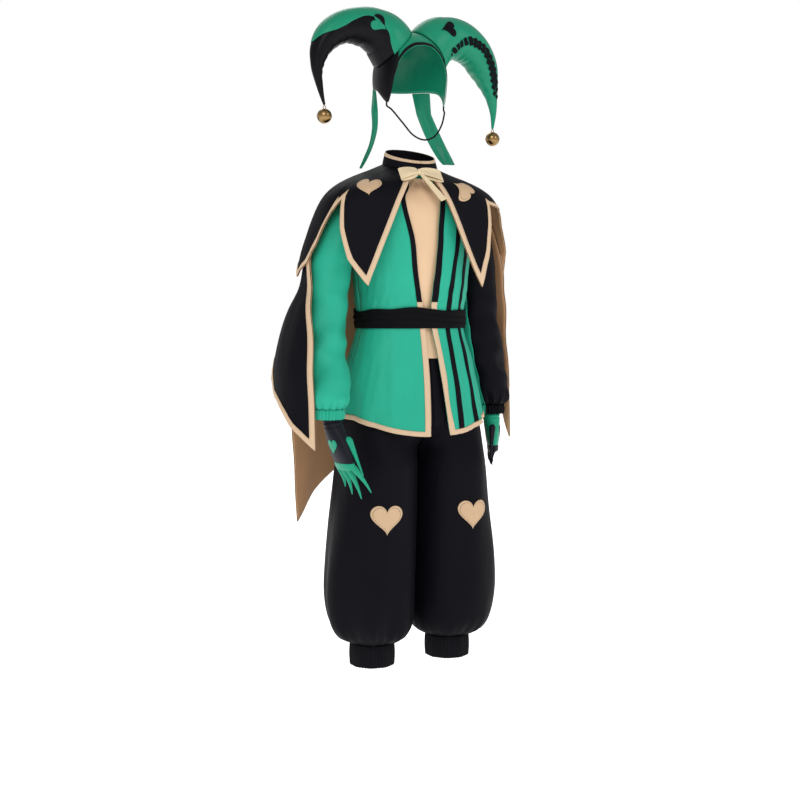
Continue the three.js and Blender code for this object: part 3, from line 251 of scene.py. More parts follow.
def sew(
    name: str,
    grids: Grid | Sequence[Grid],
    look: str,
    replaces: Sequence[str] = (),
    *,
    thick: float = CLOTH,
    keep: Array | None = None,
    body: str = "root",
    offset: float = -1.0,
    fine: int = 1,
) -> bpy.types.Object:
    """Makes one piece from one or more grids.

    Args:
        name: The piece's name.
        grids: Its grids of points.
        look: The name of its finish.
        replaces: The CAD nodes that it stands for.
        thick: Thickness of the cloth, or 0 for a closed form.
        keep: Cells that are cloth, for a single grid.
        body: The body that it rides on.
        offset: Where the thickness goes: -1 is inward.
        fine: Levels of subdivision.

    Returns:
        The piece.
    """
    mesh = bpy.data.meshes.new(name)
    whole = bmesh.new()
    whole.loops.layers.uv.new("UVMap")
    for grid in [grids] if isinstance(grids, Grid) else grids:
        points = grid.points
        if grid.closed:
            points = np.concatenate([points, points[:1]])
        columns, rows = points.shape[:2]
        before = len(whole.verts)
        bmesh.ops.create_grid(
            whole, x_segments=columns - 1, y_segments=rows - 1, size=0.5, calc_uvs=True
        )
        whole.verts.ensure_lookup_table()
        made = whole.verts[before:]
        cells = {face for vert in made for face in vert.link_faces}
        if keep is not None:
            gone = []
            for face in cells:
                middle = face.calc_center_median()
                i = min(int((middle.x + 0.5) * (columns - 1)), columns - 2)
                j = min(int((middle.y + 0.5) * (rows - 1)), rows - 2)
                if not keep[i, j]:
                    gone.append(face)
            bmesh.ops.delete(whole, geom=gone, context="FACES")
            whole.verts.ensure_lookup_table()
            made = whole.verts[before:]
            cells = {face for vert in made for face in vert.link_faces}
        lean = 0.0
        for vert in made:
            i = round((vert.co.x + 0.5) * (columns - 1))
            j = round((vert.co.y + 0.5) * (rows - 1))
            x, y, z = points[i, j]
            vert.co = (x / 1000, y / 1000, (z - NECK_HEIGHT) / 1000)
        outward = grid.normals
        for face in cells:
            face.normal_update()
        for face in list(cells)[:: max(len(cells) // 60, 1)]:
            centre = face.calc_center_median()
            spot = np.array([centre.x * 1000, centre.y * 1000, centre.z * 1000 + NECK_HEIGHT])
            near = np.argmin(((grid.points - spot) ** 2).sum(-1))
            lean += float(np.dot(outward.reshape(-1, 3)[near], face.normal))
        if lean < 0:
            bmesh.ops.reverse_faces(whole, faces=list(cells))
    bmesh.ops.remove_doubles(whole, verts=whole.verts, dist=2e-5)
    for face in whole.faces:
        face.smooth = True
    whole.to_mesh(mesh)
    whole.free()
    piece = bpy.data.objects.new(name, mesh)
    bpy.context.scene.collection.objects.link(piece)
    mesh.materials.append(Finish.named(look).material())
    if thick:
        wall = piece.modifiers.new("Wall", "SOLIDIFY")
        wall.thickness = thick / 1000
        wall.offset = offset
        wall.use_even_offset = False
    if fine:
        soft = piece.modifiers.new("Soft", "SUBSURF")
        soft.levels = soft.render_levels = fine
        soft.boundary_smooth = "PRESERVE_CORNERS"
    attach(piece, body)
    if replaces:
        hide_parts(*replaces)
    Finish.named(look).slot
    LOG.info("%s: %d faces on %s", name, len(mesh.polygons), body)
    return piece


# Finishes


@dataclass(frozen=True)
class Finish:
    """One cloth or metal as a procedural material.

    Attributes:
        name: The material's name.
        slot: The record's material slot.
        colour: Linear base colour.
        rough: Roughness.
        sheen: Weight of the cloth's sheen.
        weave: Threads in one metre, or 0 for none.
        crease: Height of the small creases, in metres.
        mottle: How much the colour varies from place to place.
        metal: 1 for metal.
        stitch: Whether a stitched line runs inside the edge of the piece.
        shine: Strength of the mirrored light on cloth.
    """

    name: str
    slot: str
    colour: tuple[float, float, float]
    rough: float = 0.7
    sheen: float = 0.2
    weave: float = 900.0
    crease: float = 0.0012
    mottle: float = 0.1
    metal: float = 0.0
    stitch: bool = False
    shine: float = 0.2

    @staticmethod
    def named(name: str) -> Finish:
        """The finish with that name.

        Args:
            name: The name to look for or give.

        Returns:
            The finish.
        """
        return next(finish for finish in FINISHES if finish.name == name)

    def material(self) -> bpy.types.Material:
        """The material, made the first time that it is asked for.

        Returns:
            The material.
        """
        name = f"{self.name}_woven"  # the CAD's own materials have the plain names
        found = bpy.data.materials.get(name)
        if found:
            return found
        made = bpy.data.materials.new(name)
        made.use_nodes = True
        tree = made.node_tree
        shader = tree.nodes["Principled BSDF"]
        shader.inputs["Metallic"].default_value = self.metal
        shader.inputs["Sheen Weight"].default_value = self.sheen
        shader.inputs["Sheen Roughness"].default_value = 0.4
        if not self.metal:
            shader.inputs["Specular IOR Level"].default_value = self.shine
        maker = NodeMaker(tree)
        place = maker.add("ShaderNodeTexCoord").outputs["Object"]
        patches = maker.noise(place, 7.0, 3.0)
        light = tuple(min(c * (1 + self.mottle), 1.0) for c in self.colour)
        dark = tuple(c * (1 - self.mottle) for c in self.colour)
        colour = maker.mix(patches, dark, light)
        threads = maker.noise(place, max(self.weave, 1.0), 1.0)
        if self.weave:
            colour = maker.mix(threads, colour, light, weight=0.16)
        if self.stitch:
            colour = maker.mix(maker.stitches(), colour, tuple(c * 0.35 for c in self.colour))
        tree.links.new(colour, shader.inputs["Base Color"])
        rough = maker.span(patches, self.rough - 0.06, self.rough + 0.06)
        tree.links.new(rough, shader.inputs["Roughness"])
        normal = None
        if self.crease:
            wide = maker.noise(place, 11.0, 2.0, squeeze=(1.0, 1.0, 0.45))
            normal = maker.bump(wide, self.crease * 3, normal)
            small = maker.noise(place, 42.0, 2.0, squeeze=(1.0, 1.0, 0.5))
            normal = maker.bump(small, self.crease * 0.5, normal)
        if self.weave:
            normal = maker.bump(threads, 0.00012, normal)
        if normal:
            tree.links.new(normal, shader.inputs["Normal"])
        return made


@dataclass
class NodeMaker:
    """Adds nodes to a material's tree."""

    tree: bpy.types.NodeTree

    def add(self, kind: str) -> bpy.types.Node:
        """A new node of that kind.

        Args:
            kind: The kind of node or sum.

        Returns:
            The node.
        """
        return self.tree.nodes.new(kind)

    def noise(
        self,
        place: bpy.types.NodeSocket,
        scale: float,
        detail: float,
        squeeze: tuple[float, float, float] = (1.0, 1.0, 1.0),
    ) -> bpy.types.NodeSocket:
        """Noise over the place, with its directions squeezed.

        Args:
            place: Where the noise is read.
            scale: Size of the noise.
            detail: Detail of the noise.
            squeeze: Scale of each direction.

        Returns:
            The factor.
        """
        mapping = self.add("ShaderNodeMapping")
        mapping.inputs["Scale"].default_value = squeeze
        node = self.add("ShaderNodeTexNoise")
        node.inputs["Scale"].default_value = scale
        node.inputs["Detail"].default_value = detail
        self.tree.links.new(place, mapping.inputs["Vector"])
        self.tree.links.new(mapping.outputs["Vector"], node.inputs["Vector"])
        return node.outputs["Fac"]

    def mix(
        self,
        factor: bpy.types.NodeSocket,
        low: object,
        high: object,
        weight: float = 1.0,
    ) -> bpy.types.NodeSocket:
        """A colour between two, by a factor times a weight.

        Args:
            factor: The factor, from 0 to 1.
            low: The lower end.
            high: The upper end.
            weight: What the factor is multiplied by.

        Returns:
            The colour.
        """
        node = self.add("ShaderNodeMix")
        node.data_type = "RGBA"
        if weight != 1.0:
            factor = self.maths("MULTIPLY", factor, weight)
        self.tree.links.new(factor, node.inputs[0])
        for socket, value in ((node.inputs[6], low), (node.inputs[7], high)):
            if isinstance(value, tuple):
                socket.default_value = (*value, 1.0)
            else:
                self.tree.links.new(value, socket)
        return node.outputs[2]

    def maths(self, kind: str, a: object, b: object) -> bpy.types.NodeSocket:
        """The result of one sum on two values or sockets.

        Args:
            kind: The kind of node or sum.
            a: The first value.
            b: The second value.

        Returns:
            The result.
        """
        node = self.add("ShaderNodeMath")
        node.operation = kind
        for socket, value in zip(node.inputs, (a, b), strict=False):
            if isinstance(value, (int, float)):
                socket.default_value = value
            else:
                self.tree.links.new(value, socket)
        return node.outputs[0]

    def span(self, factor: bpy.types.NodeSocket, low: float, high: float) -> bpy.types.NodeSocket:
        """A factor from 0 to 1 stretched to a span.

        Args:
            factor: The factor, from 0 to 1.
            low: The lower end.
            high: The upper end.

        Returns:
            The stretched factor.
        """
        node = self.add("ShaderNodeMapRange")
        node.inputs["To Min"].default_value = low
        node.inputs["To Max"].default_value = high
        self.tree.links.new(factor, node.inputs["Value"])
        return node.outputs["Result"]

    def bump(
        self, height: bpy.types.NodeSocket, depth: float, below: bpy.types.NodeSocket | None
    ) -> bpy.types.NodeSocket:
        """A bump of that depth over an earlier one.

        Args:
            height: The height to raise.
            depth: Its full depth in metres.
            below: The bump under this one, or None.

        Returns:
            The normal.
        """
        node = self.add("ShaderNodeBump")
        node.inputs["Distance"].default_value = depth
        self.tree.links.new(height, node.inputs["Height"])
        if below:
            self.tree.links.new(below, node.inputs["Normal"])
        return node.outputs["Normal"]

    def stitches(self) -> bpy.types.NodeSocket:
        """1 on a dashed line near the outer end of the piece's V.

        Returns:
            The factor.
        """
        place = self.add("ShaderNodeUVMap")
        place.uv_map = "UVMap"
        split = self.add("ShaderNodeSeparateXYZ")
        self.tree.links.new(place.outputs["UV"], split.inputs["Vector"])
        off = self.maths("SUBTRACT", split.outputs["Y"], 0.62)
        line = self.maths("LESS_THAN", self.maths("ABSOLUTE", off, 0), 0.03)
        dash = self.maths("FRACT", self.maths("MULTIPLY", split.outputs["X"], 44.0), 0)
        return self.maths("MULTIPLY", line, self.maths("LESS_THAN", dash, 0.72))


FINISHES = (
    Finish(
        "black_cloth", "black_cloth", (0.0032, 0.0029, 0.0052), 0.6, 0.0, crease=0.0020, shine=0.07
    ),
    Finish(
        "green_cloth", "green_cloth", (0.018, 0.36, 0.235), 0.5, 0.03, crease=0.0020, shine=0.16
    ),
    Finish(
        "green_satin", "green_satin", (0.006, 0.21, 0.115), 0.33, 0.02, crease=0.0022, shine=0.2
    ),
    Finish(
        "black_satin", "black_cloth", (0.0028, 0.0026, 0.0042), 0.36, 0.0, crease=0.0022, shine=0.1
    ),
    Finish("gold_cloth", "gold_cloth", (0.60, 0.43, 0.28), 0.55, 0.05, crease=0.0006),
    Finish(
        "gold_heart", "gold_cloth", (0.545, 0.375, 0.23), 0.55, 0.05, crease=0.0006, stitch=True
    ),
    Finish("vest_cloth", "vest_cloth", (0.68, 0.465, 0.29), 0.45, 0.06, crease=0.0016),
    Finish("lining", "lining", (0.56, 0.31, 0.16), 0.5, 0.05, crease=0.0014),
    Finish("cream_satin", "cream_satin", (0.66, 0.53, 0.34), 0.3, 0.04, crease=0.0010),
    Finish("sash_cloth", "sash", (0.0028, 0.0028, 0.0036), 0.8, 0.0, crease=0.0022, shine=0.08),
    Finish("elastic", "elastic", (0.004, 0.004, 0.005), 0.7, 0.0, crease=0.0, shine=0.1),
    Finish("rib_black", "black_cloth", (0.0035, 0.0032, 0.0055), 0.7, 0.0, crease=0.0, shine=0.1),
    Finish(
        "glove_black", "black_cloth", (0.006, 0.006, 0.012), 0.45, 0.0, crease=0.0008, shine=0.14
    ),
    Finish(
        "glove_green", "green_cloth", (0.008, 0.29, 0.165), 0.42, 0.03, crease=0.0008, shine=0.2
    ),
    Finish("brass", "brass", (0.27, 0.17, 0.07), 0.24, 0.0, 0.0, 0.0, 0.15, 1.0),
)


# Surfaces. Columns: height, half width, depth in front, depth behind, squareness.

CAPELET = (
    (1484, 66, 60, 64, 2.0), (1470, 102, 79, 83, 2.1), (1457, 138, 96, 99, 2.2),
    (1440, 174, 110, 112, 2.3), (1420, 201, 118, 120, 2.4), (1395, 220, 124, 127, 2.4),
    (1360, 236, 129, 133, 2.4), (1330, 247, 132, 138, 2.4), (1290, 259, 135, 142, 2.4),
    (1250, 269, 137, 146, 2.4), (1204, 278, 140, 150, 2.4), (1180, 282, 142, 152, 2.4),
)
LAYER = 9.5
LAYER_TOP = 3.9


def cape_shoulder() -> list[tuple[float, ...]]:
    """The cape's rows where it lies under the capelet.

    Returns:
        Rows like those of CAPE.
    """
    rows = []
    for z, a, f, b, n in CAPELET:
        if 1240 < z < 1475:
            less = LAYER + (LAYER_TOP - LAYER) * float(smooth(z, 1430, 1465))
            rows.append((z - less * float(smooth(z, 1330, 1440)), a - less, f - less, b - less, n))
    return rows


CAPE = (
    *cape_shoulder(),
    (1200, 269, 131, 139, 2.5), (1150, 292, 144, 154, 2.6), (1100, 308, 154, 165, 2.7),
    (1020, 326, 162, 173, 2.8), (940, 332, 168, 178, 2.8), (850, 336, 172, 180, 2.8),
    (740, 339, 174, 182, 2.8), (640, 341, 175, 183, 2.8),
)
JACKET = (
    (1472, 58, 53, 54, 2.0), (1452, 90, 65, 64, 2.1), (1436, 119, 78, 76, 2.3),
    (1418, 138, 91, 88, 2.4), (1386, 149, 104, 106, 2.4), (1330, 147, 110, 115, 2.4),
    (1270, 141, 112, 113, 2.4), (1200, 133, 107, 106, 2.4), (1150, 128, 100, 98, 2.3),
    (1130, 126, 97, 96, 2.3), (1100, 129, 99, 99, 2.3), (1040, 147, 109, 109, 2.3),
    (980, 161, 118, 118, 2.3), (890, 178, 130, 134, 2.3), (855, 184, 134, 138, 2.3),
)


def draped(table: Sequence[Sequence[float]], turn: Array, z: Array) -> Array:
    """Points of a draped surface. A turn of 0 is the front and 90 the wearer's right.

    Args:
        table: The rows of the form.
        turn: Turns round the piece, in degrees.
        z: Heights above the soles.

    Returns:
        The points.
    """
    power = 2 / read(table, z, 4)
    c, s = np.cos(np.radians(turn)), np.sin(np.radians(turn))
    depth = np.where(c > 0, read(table, z, 2), read(table, z, 3))
    tilt = NECK_TILT * c * smooth(z, 1390, 1484)
    return points_of(-read(table, z, 1) * bend(s, power), -depth * bend(c, power), z - tilt)


def turn_at(table: Sequence[Sequence[float]], x: Array, z: Array) -> Array:
    """The turn at which a draped surface has a given sideways place, in front.

    Args:
        table: The rows of the form.
        x: Sideways places.
        z: Heights above the soles.

    Returns:
        The turns, in degrees.
    """
    share = np.clip(np.abs(x) / read(table, z, 1), 0, 1)
    return -np.sign(x) * np.degrees(np.arcsin(share ** (read(table, z, 4) / 2)))


def pushed(points: Array, by: Array) -> Array:
    """Points moved level away from the costume's middle.

    Args:
        points: Points in millimetres.
        by: How far to move them.

    Returns:
        The moved points.
    """
    level = points * np.array([1.0, 1.0, 0.0])
    return points + unit(level) * np.asarray(by)[..., None]


@dataclass(frozen=True)
class Panel:
    """A panel that hangs from a top line to a pointed hem, with a trim round its edges.

    Attributes:
        surface: The surface that it lies on, by turn and height.
        start: Turn of its first edge by height.
        end: Turn of its last edge by height.
        hem: Turn and height of the hem's corners.
        top: Height of its top line.
        ease: How the rows crowd towards the top.
        rows: How many rows it has.
        finer: Columns between two corners of the hem.
    """

    surface: Surface
    start: Callable[[Array], Array]
    end: Callable[[Array], Array]
    hem: Sequence[tuple[float, float]]
    top: float
    ease: float
    rows: int = 26
    finer: int = 5

    def edge_turns(self, z: Array) -> tuple[Array, Array]:
        """The turns of the inner lines of the two side trims.

        Args:
            z: Heights above the soles.

        Returns:
            The turns of the right and of the left line.
        """
        start, end = self.start(z), self.end(z)
        first = np.linalg.norm(self.surface(start + 1, z) - self.surface(start, z), axis=-1)
        last = np.linalg.norm(self.surface(end - 1, z) - self.surface(end, z), axis=-1)
        return start + TRIM / first, end - TRIM / last

    def grid(self) -> tuple[Grid, Array]:
        """The panel's grid, and which of its cells are trim.

        Returns:
            The grid, with its trim where it has one.
        """
        hem = np.array(self.hem, float)
        low, high = self.edge_turns(hem[:, 1])
        shares = (hem[:, 0] - low) / (high - low)
        at = np.linspace(0, len(hem) - 1, (len(hem) - 1) * self.finer + 1)
        fine = np.interp(at, np.arange(len(hem)), shares)
        ends = np.interp(at, np.arange(len(hem)), hem[:, 1])
        inside = (fine > 0.002) & (fine < 0.998)
        order = np.argsort(fine)
        first_end = float(np.interp(0, fine[order], ends[order]))
        last_end = float(np.interp(1, fine[order], ends[order]))
        ends = np.array([hem[0, 1], first_end, *ends[inside], last_end, hem[-1, 1]])
        inner = np.array([0.0, *fine[inside], 1.0])

        def turns(z: Array) -> Array:
            """Turns of all columns, for heights given by column and row.

            Args:
                z: Heights above the soles.

            Returns:
                The turns.
            """
            low, high = self.edge_turns(z[1:-1])
            middle = low + (high - low) * inner[:, None]
            return np.concatenate([self.start(z[:1]), middle, self.end(z[-1:])])

        def place(v: Array) -> Array:
            """Points of all columns at shares of their length.

            Args:
                v: Places along.

            Returns:
                The points.
            """
            z = self.top - (self.top - ends)[:, None] * v**self.ease
            return self.surface(turns(z), z)

        tips = place(np.ones((len(ends), 1)))[:, 0]
        near = place(np.full((len(ends), 1), 0.95))[:, 0]
        up = unit(near - tips)
        reach = np.zeros(len(ends))
        for step in (1, -1):
            along = unit(np.roll(tips, step, 0) - tips)
            need = TRIM / np.maximum(np.linalg.norm(np.cross(up, along), axis=-1), 0.2)
            need[0 if step == 1 else -1] = 0
            reach = np.maximum(reach, need)
        probe = place(np.tile(np.linspace(0, 1, 40), (len(ends), 1)))
        length = np.linalg.norm(np.diff(probe, axis=1), axis=-1).sum(axis=1)
        inner_share = (1 - np.minimum(reach / length, 0.4)) ** (1 / self.ease)
        v = np.concatenate(
            [
                np.linspace(0, 1, self.rows)[None, :] * inner_share[:, None],
                ((inner_share + 1) / 2)[:, None],
                np.ones((len(ends), 1)),
            ],
            axis=1,
        )
        points = place(v)
        trim = np.zeros((points.shape[0] - 1, points.shape[1] - 1), bool)
        trim[:, -2:] = True
        trim[0] = trim[-1] = True
        return Grid(points), trim


HEART = np.radians(np.arange(0, 360, 6))


def heart_grid(
    surface: Surface,
    u0: float,
    v0: float,
    width: float,
    turned: float = 0.0,
    lift: float = 1.0,
    within: Array | None = None,
) -> Grid:
    """A heart laid on a surface.

    Args:
        surface: What it lies on.
        u0: Its place across.
        v0: Its place along.
        width: Its width.
        turned: How far it is turned in the surface, in degrees.
        lift: Height of its middle above the surface.
        within: A point inside the form, which tells which way is out.

    Returns:
        The grid of the heart.
    """
    t = HEART
    x = 16 * np.sin(t) ** 3 * width / 33
    y = (13 * np.cos(t) - 5 * np.cos(2 * t) - 2 * np.cos(3 * t) - np.cos(4 * t) + 2) * width / 33

    def at(u: Array, v: Array) -> Array:
        """Points of the surface.

        Args:
            u: Places across.
            v: Places along.

        Returns:
            The points.
        """
        return surface(np.asarray(u, float), np.asarray(v, float))

    across = (at(u0 + 0.5, v0) - at(u0 - 0.5, v0)).ravel()
    up = (at(u0, v0 + 0.5) - at(u0, v0 - 0.5)).ravel()
    skew = across @ up / (across @ across)
    upright = np.linalg.norm(up - across * skew)
    rings = np.array([0, 0.18, 0.36, 0.54, 0.7, 0.8, 0.88, 0.94, 0.98, 1.0])
    c, s = math.cos(math.radians(turned)), math.sin(math.radians(turned))
    p = (x * c - y * s)[:, None] * rings
    q = (x * s + y * c)[:, None] * rings
    v = v0 + q / upright
    u = u0 + p / np.linalg.norm(across) - (v - v0) * skew
    points = at(u, v)
    du = at(u + 0.3, v) - at(u - 0.3, v)
    dv = at(u, v - 0.3) - at(u, v + 0.3)
    way = unit(np.cross(du, dv))
    if within is not None:
        way = np.where(np.sum(way * (points - within), -1, keepdims=True) < 0, -way, way)
    puff = lift + 0.8 * np.sqrt(np.clip(1 - rings**4, 0, 1))
    puff[-1] = lift - 0.5
    return Grid(points + way * puff[:, None], True, way)


# Each piece's cut of what shows: width and length in millimetres and area in square metres.
CUTS = {
    "capelet_cloth": (1935, 308, 0.2388),
    "collar_cloth": (403, 33, 0.0110),
    "cape_cloth": (1871, 634, 0.4745),
    "jacket_right_cloth": (246, 663, 0.1010),
    "jacket_left_cloth": (222, 663, 0.1068),
    "jacket_back_cloth": (506, 663, 0.2288),
    "vest_cloth": (265, 469, 0.1010),
    "sash_cloth": (771, 51, 0.0352),
    "sleeve_right_cloth": (373, 545, 0.1415),
    "sleeve_left_outside": (256, 539, 0.1038),
    "sleeve_left_inside": (115, 447, 0.0400),
    "cuff_right_cloth": (293, 23, 0.0066),
    "cuff_left_outside": (194, 23, 0.0044),
    "cuff_left_inside": (92, 23, 0.0021),
    "trouser_right_cloth": (706, 807, 0.4324),
    "trouser_right_cuff": (367, 52, 0.0188),
    "trouser_left_cloth": (702, 806, 0.4320),
    "waistband_cloth": (690, 16, 0.0110),
    "hood_black": (281, 213, 0.0277),
    "hood_green": (450, 192, 0.0345),
    "horn_right_panel": (227, 308, 0.0374),
    "nape_tail_right": (50, 210, 0.0051),
    "nape_tail_left": (50, 193, 0.0069),
    "bow_ribbon": (119, 141, 0.0067),
    "glove_right_cloth": (188, 121, 0.0177),
    "glove_right_claws": (180, 190, 0.0136),
    "glove_right_thumb_claw": (44, 98, 0.0024),
    "glove_left_cloth": (188, 97, 0.0147),
    "glove_left_claws": (180, 140, 0.0101),
    "glove_left_thumb_claw": (44, 92, 0.0022),
}
for twin, piece_name in (
    ("capelet_inside", "capelet_cloth"), ("cape_inside", "cape_cloth"),
    ("trouser_left_cuff", "trouser_right_cuff"),
):
    CUTS[twin] = CUTS[piece_name]


# Sub-assemblies

CAPELET_EDGE_RIGHT = ((1484, -24), (1442, -58), (1341, -107), (1203, -166))
CAPELET_EDGE_LEFT = ((1484, 8), (1440, 16), (1374, 42), (1260, 90), (1203, 120))
CAPELET_HEM = (
    (33, 1203), (47, 1262), (57, 1330), (65, 1398), (72, 1368), (80, 1296), (88, 1256),
    (101, 1226), (117, 1272), (131, 1330), (141, 1282), (149, 1235), (156, 1192), (168, 1240),
    (180, 1292), (192, 1240), (204, 1192), (211, 1235), (219, 1282), (229, 1330), (241, 1276),
    (253, 1218), (263, 1242), (270, 1290), (275, 1350), (285, 1386), (300, 1392), (318, 1396),
    (325, 1338), (332, 1270), (338.5, 1203),
)
SEAM = 0.3


@dataclass(frozen=True)
class Capelet:
    """Pointed capelet with its lining, trim, hearts and stand collar."""

    heart: float = 62.0

    @staticmethod
    def surface(turn: Array, z: Array) -> Array:
        """The capelet's cloth with its soft folds.

        Args:
            turn: Turns round the piece, in degrees.
            z: Heights above the soles.

        Returns:
            The points.
        """
        free = smooth(-np.asarray(z, float), -1440, -1250)
        fold = free * (
            1.8 * np.sin(np.radians(turn * 7 + 25)) + 1.1 * ripple(turn / 42, z / 210, 3)
        )
        return pushed(draped(CAPELET, turn, z), fold)

    @staticmethod
    def collar_surface(turn: Array, share: Array) -> Array:
        """The stand collar, from its neck seam at 0 to its top edge at 1.

        Args:
            turn: Turns round the piece, in degrees.
            share: Shares of the way along the piece, from 0 to 1.

        Returns:
            The points.
        """
        c, s = np.cos(np.radians(turn)), np.sin(np.radians(turn))
        low, high = 1484 + SEAM - NECK_TILT * c, 1512 - 19 * c
        depth = np.where(c > 0, 59.5 - 5.5 * share, 63.5 - 6.5 * share)
        bulge = 1.2 * np.sin(np.pi * share)
        return points_of(
            -(65.5 - 8.5 * share + bulge) * s, -(depth + bulge) * c, low + (high - low) * share
        )

    def build(self) -> None:
        """Makes the pieces."""
        panel = Panel(
            self.surface,
            lambda z: turn_at(CAPELET, read(CAPELET_EDGE_RIGHT, z), z),
            lambda z: 360 + turn_at(CAPELET, read(CAPELET_EDGE_LEFT, z), z),
            CAPELET_HEM,
            1484,
            1.45,
        )
        grid, trim = panel.grid()
        cloth = sew("capelet_cloth", grid, "black_cloth", ["capelet"], fine=0)
        inner = sew(
            "capelet_inside", grid.away(-1.8), "lining", ["capelet_lining"], thick=1.0, fine=0
        )
        edge = sew("capelet_edging", grid.away(SEAM + 1), "gold_cloth", ["capelet_trim"], thick=1.0,
                   keep=trim, fine=0)
        right = sew("chest_heart_right", heart_grid(self.surface, 48, 1429, self.heart),
                    "gold_heart", ["capelet_heart_right"], thick=0.9)
        left = sew("chest_heart_left", heart_grid(self.surface, 335.5, 1432, self.heart, 130),
                   "gold_heart", ["capelet_heart_left"], thick=0.9)
        shares = [1, 0.93, 0.86, 0.79, 0.72, 0.6, 0.45, 0.3, 0.15, 0]
        collar = grid_of(np.linspace(0.4, 359.6, 90), shares, self.collar_surface)
        band = sew("collar_cloth", collar, "black_cloth", ["collar"], fine=0)
        top = np.zeros((89, 9), bool)
        top[:, :4] = True
        rim = sew(
            "collar_edging", collar.away(SEAM + 1), "gold_cloth", ["collar_binding"],
            thick=1.0, keep=top, fine=0,
        )


CAPE_HEM = (
    (54, 845), (76, 896), (92, 955), (107, 1020), (121, 975), (134, 925), (140, 890),
    (143, 780), (146, 648), (158, 715), (170, 775), (180, 850), (190, 775), (202, 715),
    (214, 648), (217, 780), (220, 890), (228, 940), (241, 975), (252, 940), (265, 838),
)
CAPE_EDGE_RIGHT = ((1465, 96), (1300, 92), (1222, 82), (1100, 63), (990, 57), (845, 54))
CAPE_EDGE_LEFT = ((1465, 264), (1300, 268), (1150, 266), (838, 265))


@dataclass(frozen=True)
class Cape:
    """Long pointed cape that hangs from under the capelet."""

    folds: int = 9

    def surface(self, turn: Array, z: Array) -> Array:
        """The cape's cloth with its long folds.

        Args:
            turn: Turns round the piece, in degrees.
            z: Heights above the soles.

        Returns:
            The points.
        """
        z = np.asarray(z, float)
        p = draped(CAPE, turn, z)
        left = smooth(-z, -1240, -1060) * smooth(turn, 180, 250)
        p[..., 0] *= 1 - 0.115 * left
        fade = 1 - 0.7 * smooth(np.abs(turn - 180), 60, 115)
        fold = 9 * smooth(-z, -1300, -700) * fade * np.sin(np.radians(turn * self.folds + 40))
        fold = fold + 2.4 * fade * smooth(-z, -1300, -1050) * ripple(turn / 24, z / 600, 11)
        return pushed(p, fold)

    def build(self) -> None:
        """Makes the pieces."""
        panel = Panel(
            self.surface,
            lambda z: read(CAPE_EDGE_RIGHT, z),
            lambda z: read(CAPE_EDGE_LEFT, z),
            CAPE_HEM,
            1462,
            1.05,
            rows=52,
            finer=6,
        )
        grid, trim = panel.grid()
        trim[:, :16] = False
        cloth = sew("cape_cloth", grid, "black_cloth", ["cape"], fine=0)
        inner = sew("cape_inside", grid.away(-1.8), "lining", ["cape_lining"], thick=1.0, fine=0)
        edge = sew("cape_edging", grid.away(SEAM * 2 + 1), "gold_cloth", ["cape_trim"], thick=1.0,
                   keep=trim, fine=0)


ARMHOLE_Z, ARMHOLE_TALL, ARMHOLE_DEEP = 1345.0, 66.0, 54.0
FRONT_EDGE_RIGHT = (
    (1476, -26), (1438, -40), (1400, -60), (1308, -43), (1240, -36), (1161, -20), (1107, -11),
    (1037, -9), (870, -16),
)
FRONT_EDGE_LEFT = (
    (1476, 26), (1420, 31), (1383, 24), (1286, 13), (1240, 9), (1161, 2), (1108, 6), (1055, 16),
    (964, 28), (860, 43),
)
STRIPE_ONE = (
    (1476, 30), (1452, 50), (1418, 76), (1390, 79), (1290, 67), (1240, 60), (1160, 51), (1108, 50),
    (1013, 60), (860, 68),
)
STRIPE_TWO = (
    (1476, 38), (1452, 62), (1418, 98), (1390, 106), (1290, 100), (1160, 87), (1108, 89),
    (980, 108), (860, 124),
)
BINDING_TOP = 1168.0


def side_turn(z: Array, back: bool) -> Array:
    """The turn of the side seam, or of the armhole's edge where the armhole is open.

    Args:
        z: Heights above the soles.
        back: Whether the back piece is meant.

    Returns:
        The turns, in degrees.
    """
    share = np.clip((np.asarray(z, float) - ARMHOLE_Z) / ARMHOLE_TALL, -1, 1)
    y = ARMHOLE_DEEP * np.sqrt(1 - share**2)
    depth = read(JACKET, z, 3 if back else 2)
    off = np.degrees(np.arcsin(((y + 0.2) / depth) ** (read(JACKET, z, 4) / 2)))
    return 90 + off if back else 90 - off


def jacket_point(turn: Array, z: Array) -> Array:
    """The jacket's cloth, lower at its front hem, with small creases over the belt.

    Args:
        turn: Turns round the piece, in degrees.
        z: Heights above the soles.

    Returns:
        The points.
    """
    z = np.asarray(z, float)
    drop = -40 * np.maximum(np.cos(np.radians(turn)), 0) ** 2 * smooth(-z, -1150, -905)
    wave = 2.5 * smooth(-z, -1090, -920) * np.sin(np.radians(turn * 14))
    crease = 1.0 * np.exp(-(((z - 1185) / 34) ** 2)) * ripple(turn / 9, z / 70, 21)
    skirt = 1.3 * smooth(-z, -1095, -1000) * ripple(turn / 13, z / 260, 22)
    drape = 0.8 * smooth(-z, -1410, -1330) * ripple(turn / 30, z / 110, 23)
    return pushed(draped(JACKET, turn, z + drop), wave + crease + skirt + drape)


def between(columns: Sequence[Array], k: Array) -> Array:
    """Reads between columns of turns; k counts columns and may lie between two.

    Args:
        columns: Turns of the columns at the same heights.
        k: Which column or piece it is.

    Returns:
        The turns there.
    """
    stack = np.stack(np.broadcast_arrays(*columns))
    k = np.broadcast_to(k, stack.shape[1:])
    low = np.clip(np.floor(k).astype(int), 0, len(stack) - 2)
    first = np.take_along_axis(stack, low[None], 0)[0]
    second = np.take_along_axis(stack, low[None] + 1, 0)[0]
    return first + (second - first) * (k - low)


